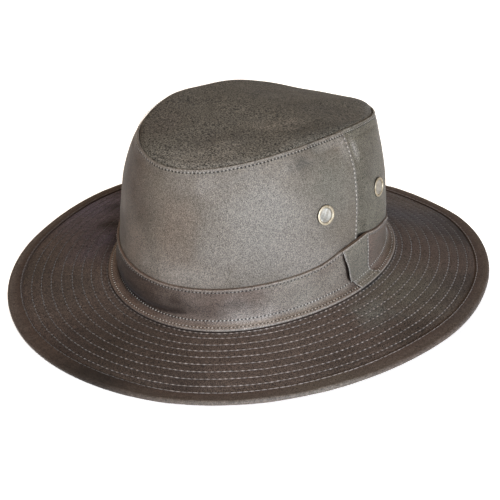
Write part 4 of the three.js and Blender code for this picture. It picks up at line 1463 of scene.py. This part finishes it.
@dataclass
class BrimBinding:
    """The binding: a strip folded round the brim's edge, with a firm rounded lip."""

    columns: int = 900
    stitch: Stitch = Stitch(pitch=3.8, width=0.68, height=0.7, share=1.0, fat=0.2, neck=0.85, sink=0.0, dip=0.4)
    row_reach: float = 66.2
    profile: tuple[tuple[float, float], ...] = (
        (65.2, 1.0), (65.22, 1.45), (65.45, 1.7), (65.9, 1.76), (66.6, 1.72), (67.6, 1.62), (68.8, 1.5),
        (70.0, 1.42), (71.0, 1.42), (71.8, 1.55), (72.5, 1.72), (73.1, 1.7), (73.65, 1.45), (74.05, 1.08),
        (74.3, 0.58), (74.4, 0.0),
    )

    def face(self, angle: Array, reach: Array, height: Array) -> Array:
        """Points at a height from the middle of the brim's cloth, with the strip's small puckers."""
        reach, height = (np.asarray(v, dtype=float).reshape(-1, 1) for v in (reach, height))
        angle = np.atleast_2d(angle)
        turns = angle / TURN + 0.5
        across = stretch(reach, 65.3, 67.5, 73.0, 74.4)
        level = reach * 0.0
        pucker = 0.14 * soft_relief(turns, level, (230, 1), 61) + 0.16 * soft_relief(turns, level, (60, 1), 62)
        middle = SHAPE.brim_middle(np.minimum(reach, 72.65), angle)
        return SHAPE.off_head(reach, angle, middle + height + np.sign(height) * pucker * across)

    def tones(self, angle: Array) -> Array:
        """How pale the thread is: painted light makes it a nearly plain pale line at the front, and painted shade
        darkens it at the left.
        """
        off = degrees_off(angle, 0.0)
        front = smooth_step(off, 10.0, 28.0) * (1.0 - 0.5 * smooth_step(off, 60.0, 84.0))
        return np.stack([0.14 + 0.66 * front, 0.1 + 0.52 * front], axis=-1)

    def build(self, cloth: Material, thread: Material) -> None:
        """Makes the binding and its row of stitches on both faces."""
        angle = round_the_hat(self.columns)
        outer = np.array(self.profile)
        under = outer[::-1][1:] * np.array([1.0, -1.0])
        inner = np.array([(65.2, -0.75), (73.4, -0.75), (73.4, 0.75), (65.2, 0.75), (65.2, 1.0)])
        loop = np.concatenate([outer, under, inner])
        points = self.face(angle, loop[:, 0], loop[:, 1])
        points[..., 2] = np.maximum(points[..., 2], 0.0)
        stations = np.arange(loop.shape[0], dtype=float)
        # the row runs a little past the profile's fourth point, on both faces
        upper, lower = 3.3, 2 * len(self.profile) - 5.3
        height_at = lambda station: np.array([1.75 if station == upper else -1.75])
        near = lambda station: self.face(angle, np.array([self.row_reach]), height_at(station))[0]
        lines = [NeedleLine(station, self.stitch.pitch) for station in (upper, lower)]
        off = degrees_off(angle, 0.0)[None, :]
        reach = loop[:, :1]
        slope, rim = smooth_step(reach, 67.0, 72.6), smooth_step(reach, 72.4, 73.5)
        front = stretch(off, 8.0, 32.0, 56.0, 76.0)
        # paler towards the edge, a painted highlight on the lip at the front and painted shade along the inner edge
        wear_and_shading = 0.17 * slope * (1.0 - 0.8 * hump(off, -6.0, 28.0)) + 0.2 * front * rim - 0.6 * hump(reach, 65.25, 0.3)
        strip = ClothGrid("brim_binding_cloth", points, stations, lines, near, wear_and_shading).build()
        dress(strip, cloth, Slot.BINDING, "brim_binding")
        rows = Topstitching("brim_binding_stitches", self.stitch, 63)
        path = round_the_hat(1800)
        for side in (1.0, -1.0):
            surface = lambda a, r, side=side: self.face(a, r, np.full(np.size(r), 1.72 * side))
            rows.row_on(surface, path, self.row_reach, -side, self.tones(path))
        rows.finish(thread, Slot.BINDING)


@dataclass(frozen=True)
class EyeletPlace:
    """Where a vent eyelet sits: its name, angle in degrees, rise, and its turn towards the front."""

    name: str
    angle: float
    rise: float
    turn: float = 0.0


@dataclass
class VentEyelets:
    """The four vent eyelets: a rolled brass rim through the cloth, and a dished gauze disc."""

    places: tuple[EyeletPlace, ...] = (
        EyeletPlace("left_front", 74.3, 0.425),
        EyeletPlace("left_back", 109.0, 0.365, 8.0),
        EyeletPlace("right_front", -74.3, 0.425),
        EyeletPlace("right_back", -109.0, 0.365, 8.0),
    )
    rim: tuple[tuple[float, float], ...] = (
        (4.85, 0.75), (4.92, 1.0), (5.15, 1.24), (5.55, 1.36), (6.0, 1.32), (6.4, 1.18), (6.62, 1.0), (6.7, 0.85),
        (6.72, 0.25), (6.5, 0.1), (5.7, 0.05), (5.6, -1.9), (6.0, -2.1), (6.35, -2.35), (6.25, -2.7), (5.7, -2.85),
        (5.25, -2.6), (5.15, -1.0), (5.0, 0.3),
    )
    dish: tuple[tuple[float, float], ...] = (
        (0.0, 0.22), (1.4, 0.26), (2.8, 0.42), (3.9, 0.62), (5.0, 0.86), (5.05, 0.3), (3.6, 0.1), (1.6, -0.1),
        (0.0, -0.14),
    )
    steps: int = 48

    def seat(self, place: EyeletPlace, wall: CrownWall) -> tuple[Array, Array]:
        """Middle of an eyelet on the wall's outer face, in millimetres, and the way out of it."""
        angle = math.radians(place.angle)
        angles = np.array([[angle - 0.03, angle, angle + 0.03]])
        patch = SHAPE.wall(np.repeat(angles, 3, axis=0), place.rise + np.array([[-0.03], [0.0], [0.03]]))
        normal = np.cross(patch[1, 2] - patch[1, 0], patch[2, 1] - patch[0, 1])
        turned = Matrix.Rotation(math.radians(-math.copysign(place.turn, place.angle)), 3, "Z") @ Vector(normal)
        return patch[1, 1], np.array(turned.normalized())

    def turned(self, name: str, profile: Sequence[tuple[float, float]], closed: bool, centre: Array,
               normal: Array) -> bpy.types.Object:
        """Spins a profile round an eyelet's axis and sets it in the wall.

        Args:
            name: Name of the piece.
            profile: Radius and height of each point, in millimetres.
            closed: True to join the last point to the first.
            centre: Middle of the eyelet, in millimetres.
            normal: Direction of its axis.

        Returns:
            The new object.
        """
        bm = bmesh.new()
        verts = [bm.verts.new((radius * MM, 0.0, height * MM)) for radius, height in profile]
        pairs = list(zip(verts, verts[1:])) + ([(verts[-1], verts[0])] if closed else [])
        edges = [bm.edges.new(pair) for pair in pairs]
        bmesh.ops.spin(bm, geom=verts + edges, cent=(0, 0, 0), axis=(0, 0, 1), angle=TURN, steps=self.steps,
                       use_merge=True)
        bmesh.ops.remove_doubles(bm, verts=bm.verts, dist=1e-6)
        bmesh.ops.recalc_face_normals(bm, faces=bm.faces)
        turn = Vector((0, 0, 1)).rotation_difference(Vector(normal)).to_matrix().to_4x4()
        bmesh.ops.transform(bm, matrix=Matrix.Translation(Vector(centre * MM)) @ turn, verts=bm.verts)
        if not closed:
            # the gauze is creased across, so that its upper front part catches more light
            across = np.cross([0.0, 0.0, 1.0], normal) * (-1.0 if centre[0] > 0 else 1.0)
            way = 0.8 * unit(across) + np.array([0.0, 0.0, 0.6])
            for vert in bm.verts:
                past = float(np.dot(np.array(vert.co) / MM - centre, way))
                vert.co -= Vector(normal) * max(0.0, past - 0.4) * 0.22 * MM
        piece = finished_object(name, bm)
        # the material paints shade on the rim's outer side
        away = np.array([vert.co for vert in piece.data.vertices]) / MM - centre
        depth = away @ normal
        radius = np.linalg.norm(away - depth[:, None] * normal, axis=1)
        side = ((radius > 6.65) & (depth < 0.9)).astype(np.float32)
        piece.data.attributes.new("side", "FLOAT", "POINT").data.foreach_set("value", side)
        return piece

    def build(self, wall: CrownWall, brass: Material, gauze: Material) -> None:
        """Makes the four rims and their discs."""
        for place in self.places:
            centre, normal = self.seat(place, wall)
            rim = self.turned(f"eyelet_{place.name}_rim", self.rim, True, centre, normal)
            dress(rim, brass, Slot.BRASS, f"eyelet_rim_{place.name}")
            disc = self.turned(f"eyelet_{place.name}_disc", self.dish, False, centre, normal)
            dress(disc, gauze, Slot.GAUZE, f"eyelet_gauze_{place.name}")


@dataclass
class Studio:
    """A pale floor lit from below, a broad low lamp in front and a dim sky, and the camera.

    Places in millimetres, angles in degrees.
    """

    camera_place: tuple[float, float, float] = (557.38, -688.35, 482.05)
    camera_target: tuple[float, float, float] = (6.6, -9.76, 24.47)
    camera_roll: float = -0.322
    camera_lens: float = 102.452
    lamp_azimuth: float = 60.0
    lamp_height: float = 5.0
    lamp_distance: float = 2600.0
    lamp_size: float = 1500.0
    lamp_power: float = 190.0
    top_power: float = 62.0
    sky: float = 0.02

    def direction(self, azimuth: float, height: float) -> Vector:
        """Direction from the hat towards an azimuth and a height above the floor."""
        a, h = math.radians(azimuth), math.radians(height)
        return Vector((math.sin(a) * math.cos(h), -math.cos(a) * math.cos(h), math.sin(h)))

    def camera(self) -> None:
        """Sets the camera at the photograph's viewing angle."""
        place, target = Vector(self.camera_place) * MM, Vector(self.camera_target) * MM
        back = (place - target).normalized()
        right = Vector((0, 0, 1)).cross(back).normalized()
        level = Matrix((right, back.cross(right), back)).transposed()
        data = bpy.data.cameras.new("camera")
        data.lens, data.sensor_width = self.camera_lens, 36.0
        data.clip_start, data.clip_end = 0.05, 30.0
        camera = bpy.data.objects.new("camera", data)
        turned = level @ Matrix.Rotation(math.radians(self.camera_roll), 3, "Z")
        camera.matrix_world = Matrix.Translation(place) @ turned.to_4x4()
        bpy.context.scene.collection.objects.link(camera)
        bpy.context.scene.camera = camera

    def lamp(self, name: str, azimuth: float, height: float, power: float, colour: str) -> None:
        """Adds a square softbox that faces the crown."""
        data = bpy.data.lights.new(name, "AREA")
        data.shape, data.size, data.energy = "SQUARE", self.lamp_size * MM, power
        data.color = linear_colour(colour)[:3]
        lamp = bpy.data.objects.new(name, data)
        way = self.direction(azimuth, height)
        crown_middle = Vector((0, 0, 0.06))
        facing = way.to_track_quat("Z", "Y").to_matrix().to_4x4()
        lamp.matrix_world = Matrix.Translation(way * self.lamp_distance * MM + crown_middle) @ facing
        bpy.context.scene.collection.objects.link(lamp)

    def floor(self) -> None:
        """Lays a plain pale floor, backlit so that it shows no shadow."""
        bm = bmesh.new()
        bmesh.ops.create_grid(bm, x_segments=1, y_segments=1, size=4.0)
        bmesh.ops.translate(bm, verts=bm.verts, vec=(0, 0, -0.0002))
        floor = finished_object("floor", bm)
        material, tree, shader = new_material("backlit_paper")
        fibre = add_noise(tree, own_place(tree), 3.0, 2.0)
        tree.links.new(add_mix(tree, fibre.outputs[0], "#fbfbfb", "#ffffff"), shader.inputs["Base Color"])
        shader.inputs["Roughness"].default_value = 0.9
        shader.inputs["Emission Color"].default_value = linear_colour("#fff8f2")
        shader.inputs["Emission Strength"].default_value = 0.66
        floor.data.materials.append(material)

    def build(self) -> None:
        """Sets up the floor, the sky, the lamp and the camera."""
        self.floor()
        world = bpy.data.worlds.new("studio")
        world.use_nodes = True
        background = world.node_tree.nodes["Background"]
        background.inputs["Color"].default_value = (0.93, 0.97, 1.0, 1.0)
        background.inputs["Strength"].default_value = self.sky
        bpy.context.scene.world = world
        self.lamp("softbox", self.lamp_azimuth, self.lamp_height, self.lamp_power, "#dfeeff")
        self.lamp("overhead", 0.0, 85.0, self.top_power, "#fff0e0")
        bpy.context.scene.view_settings.view_transform = "Standard"
        self.camera()


def cloths() -> tuple[WaxedCotton, ...]:
    """Finishes of the crown's front and back panels, the tip, the band, its tab, the brim and the binding."""
    crown = WaxedCotton(
        "waxed_cotton_crown", "#5b5248", "#635c55", "#4d423a", grain=0.35, needle_pitch=2.5, needle_shade=0.9,
        # pale clouds paint light at the front and front right where the lamp falls most; dark ones paint shade on the
        # wall's left side and under the tip seam
        clouds=clouds_of(
            (50, -8, 85, 58, 1.0, "#69625a"),
            (66, -4, 55, 34, 0.8, "#6d655d"),
            (32, -4, 62, 28, 0.5, "#706860"),
            (8, -6, 74, 30, 0.5, "#6b5c50"),
            (24, -12, 112, 26, 0.75, "#6b635b"),
            (72, -17, 112, 16, 0.95, "#3b3833"),
            (80, -10, 98, 26, 0.6, "#545047"),
            (88, -10, 92, 40, 0.5, "#5a564d"),
            (-38, -8, 88, 58, 0.95, "#42342b"),
            (-40, -9, 96, 26, 0.9, "#2d221b"),
            (-42, -5, 62, 26, 0.9, "#2d221b"),
            (10, -4, 44, 34, 0.9, "#766b61"),
            (-16, -4, 48, 26, 0.75, "#706257"),
        ))
    # the back panel is darker and greener than the front, partly as painted shade; its clouds paint shade on the far
    # side
    behind = WaxedCotton(
        "waxed_cotton_crown_back", "#554f44", "#5f5b51", "#423d34", grain=0.5, cloudiness=0.7, needle_pitch=2.5,
        needle_shade=0.9, clouds=clouds_of(
            (100, -6, 70, 45, 0.5, "#555045"),
            (112, -8, 95, 40, 0.6, "#48423a"),
            (148, -5, 86, 36, 0.75, "#413d34"),
        ))
    tip = WaxedCotton(
        # the clouds are partly wax bloom and partly painted light and shade on the dome
        "waxed_cotton_tip", "#514d46", "#5e5a53", "#443d36", grain=0.56, yarn=1.0, clouds=clouds_of(
            (20, -22, 112, 40, 0.8, "#605b54"),
            (-50, -20, 115, 48, 0.9, "#423c35"),
            (95, -30, 125, 40, 0.6, "#403d37"),
            (-45, -37, 118, 16, 0.4, "#5b554f"),
            (72, -63, 117, 15, 0.6, "#736d65"),
            (90, -56, 117, 17, 0.6, "#6c665e"),
            (110, -45, 118, 16, 0.4, "#5f5a53"),
            (12, -45, 113, 19, 0.6, "#383430"),
            (32, -51, 113, 17, 0.55, "#383430"),
            (-4, -36, 113, 15, 0.55, "#383430"),
            (-80, -45, 121, 20, 0.45, "#3d3934"),
            (-139, -55, 120, 16, 0.4, "#403c37"),
            (136, -48, 118, 24, 0.4, "#413d38"),
            (-158, -61, 120, 16, 0.3, "#44403a"),
        ))
    band = WaxedCotton(
        "waxed_cotton_band", "#5b4d44", "#655a52", "#44362e", grain=0.38, needle_pitch=2.5,
        needle_shade=0.8, rubbed="#7e766e", crease="#2a1f19", clouds=clouds_of(
            # pale clouds paint light on the band's front right; dark ones paint shade on its left, at the front crease
            # and on the far side
            (60, 0, 32, 40, 1.0, "#71685e"),
            (76, 0, 34, 26, 0.6, "#6b6359"),
            (42, 8, 16, 26, 0.9, "#837970"),
            (122, 0, 30, 30, 0.85, "#4c3f32"),
            (-18, 0, 34, 50, 0.6, "#4a362b"),
            (108, 0, 38, 14, 0.5, "#554d43"),
            (0, 4, 14, 20, 0.6, "#4a3a31"),
            (-20, 4, 15, 20, 0.6, "#44352d"),
        ))
    # the tab's near-black crease colour is painted shade on its underside
    tab = WaxedCotton("waxed_cotton_tab", "#5f584e", "#686159", "#4d453c", grain=0.42,
                      rubbed="#7e766e", crease="#15100c")
    brim = WaxedCotton(
        "waxed_cotton_brim", "#443933", "#4c433d", "#382e28", grain=0.6, needle_pitch=3.85,
        needle_shade=0.55, crease="#211916", clouds=clouds_of(
            (2, 42, 8, 74, 1.0, "#2f2620"),
            (100, 28, 8, 60, 0.9, "#49453d"),
            (84, 58, 8, 36, 0.85, "#302822"),
            (145, 68, 8, 52, 0.9, "#2d2725"),
            (-88, 50, 8, 58, 0.7, "#554e5b"),
            (-66, 18, 14, 40, 0.9, "#3f3841"),
            (155, 32, 8, 40, 0.9, "#39363a"),
            (-50, 62, 8, 40, 0.8, "#372f28"),
            (-36, 38, 8, 34, 0.6, "#362f29"),
            (112, 62, 8, 32, 0.65, "#2c2825"),
            (101, 54, 8, 22, 0.5, "#2f2723"),
            (83, 32, 8, 20, 0.5, "#595b56"),
            (-12, 66, 6, 40, 0.75, "#29201c"),
            (24, 64, 6, 32, 0.7, "#29211e"),
            (64, 66, 6, 36, 0.65, "#332b25"),
            # painted shadow: the crown's cast shadow on the brim at the left
            (-97, 52, 8, 20, 0.85, "#1c140f"),
            (-88, 36, 8, 22, 0.9, "#1a130e"),
            (-78, 22, 10, 18, 0.85, "#201813"),
            (-68, 11, 12, 14, 0.8, "#221914"),
        ))
    binding = WaxedCotton(
        "waxed_cotton_binding", "#3c3029", "#433831", "#332823", needle_pitch=3.8,
        needle_shade=0.2, rubbed="#7a736b", crease="#211915", clouds=clouds_of(
            (4, 71, 5, 58, 0.9, "#1d1611"),
            (60, 71, 5, 44, 0.85, "#41382f"),
            (100, 72, 5, 50, 0.8, "#38302b"),
        ))
    return crown, behind, tip, band, tab, brim, binding


def threads() -> tuple[CottonThread, ...]:
    """The crown's drab thread, the band's pale thread and the brim's thread."""
    return (
        CottonThread("cotton_thread_drab", "#908980", "#332b25"),
        CottonThread("cotton_thread_pale", "#aba297", "#2d2621"),
        CottonThread("cotton_thread", "#92867f", "#221c18"),
    )


def main() -> None:
    """Builds the hat piece by piece, then the studio."""
    logging.basicConfig(level=logging.INFO, format="%(message)s")
    crown, behind, tip, band, tab, brim, binding = (finish.material() for finish in cloths())
    hidden, pale, thread = (finish.material() for finish in threads())
    brass, gauze = AgedBrass().material(), NickelGauze().material()
    wall, eyelets, hat_band = CrownWall(), VentEyelets(), HatBand()
    wall.build(crown, behind, hidden, pale, eyelets)
    CrownTip().build(tip)
    hat_band.build(band, pale)
    BandTab().build(hat_band, tab, pale)
    Brim().build(brim, thread)
    BrimBinding().build(binding, thread)
    eyelets.build(wall, brass, gauze)
    Studio().build()


if __name__ == "__main__":
    main()
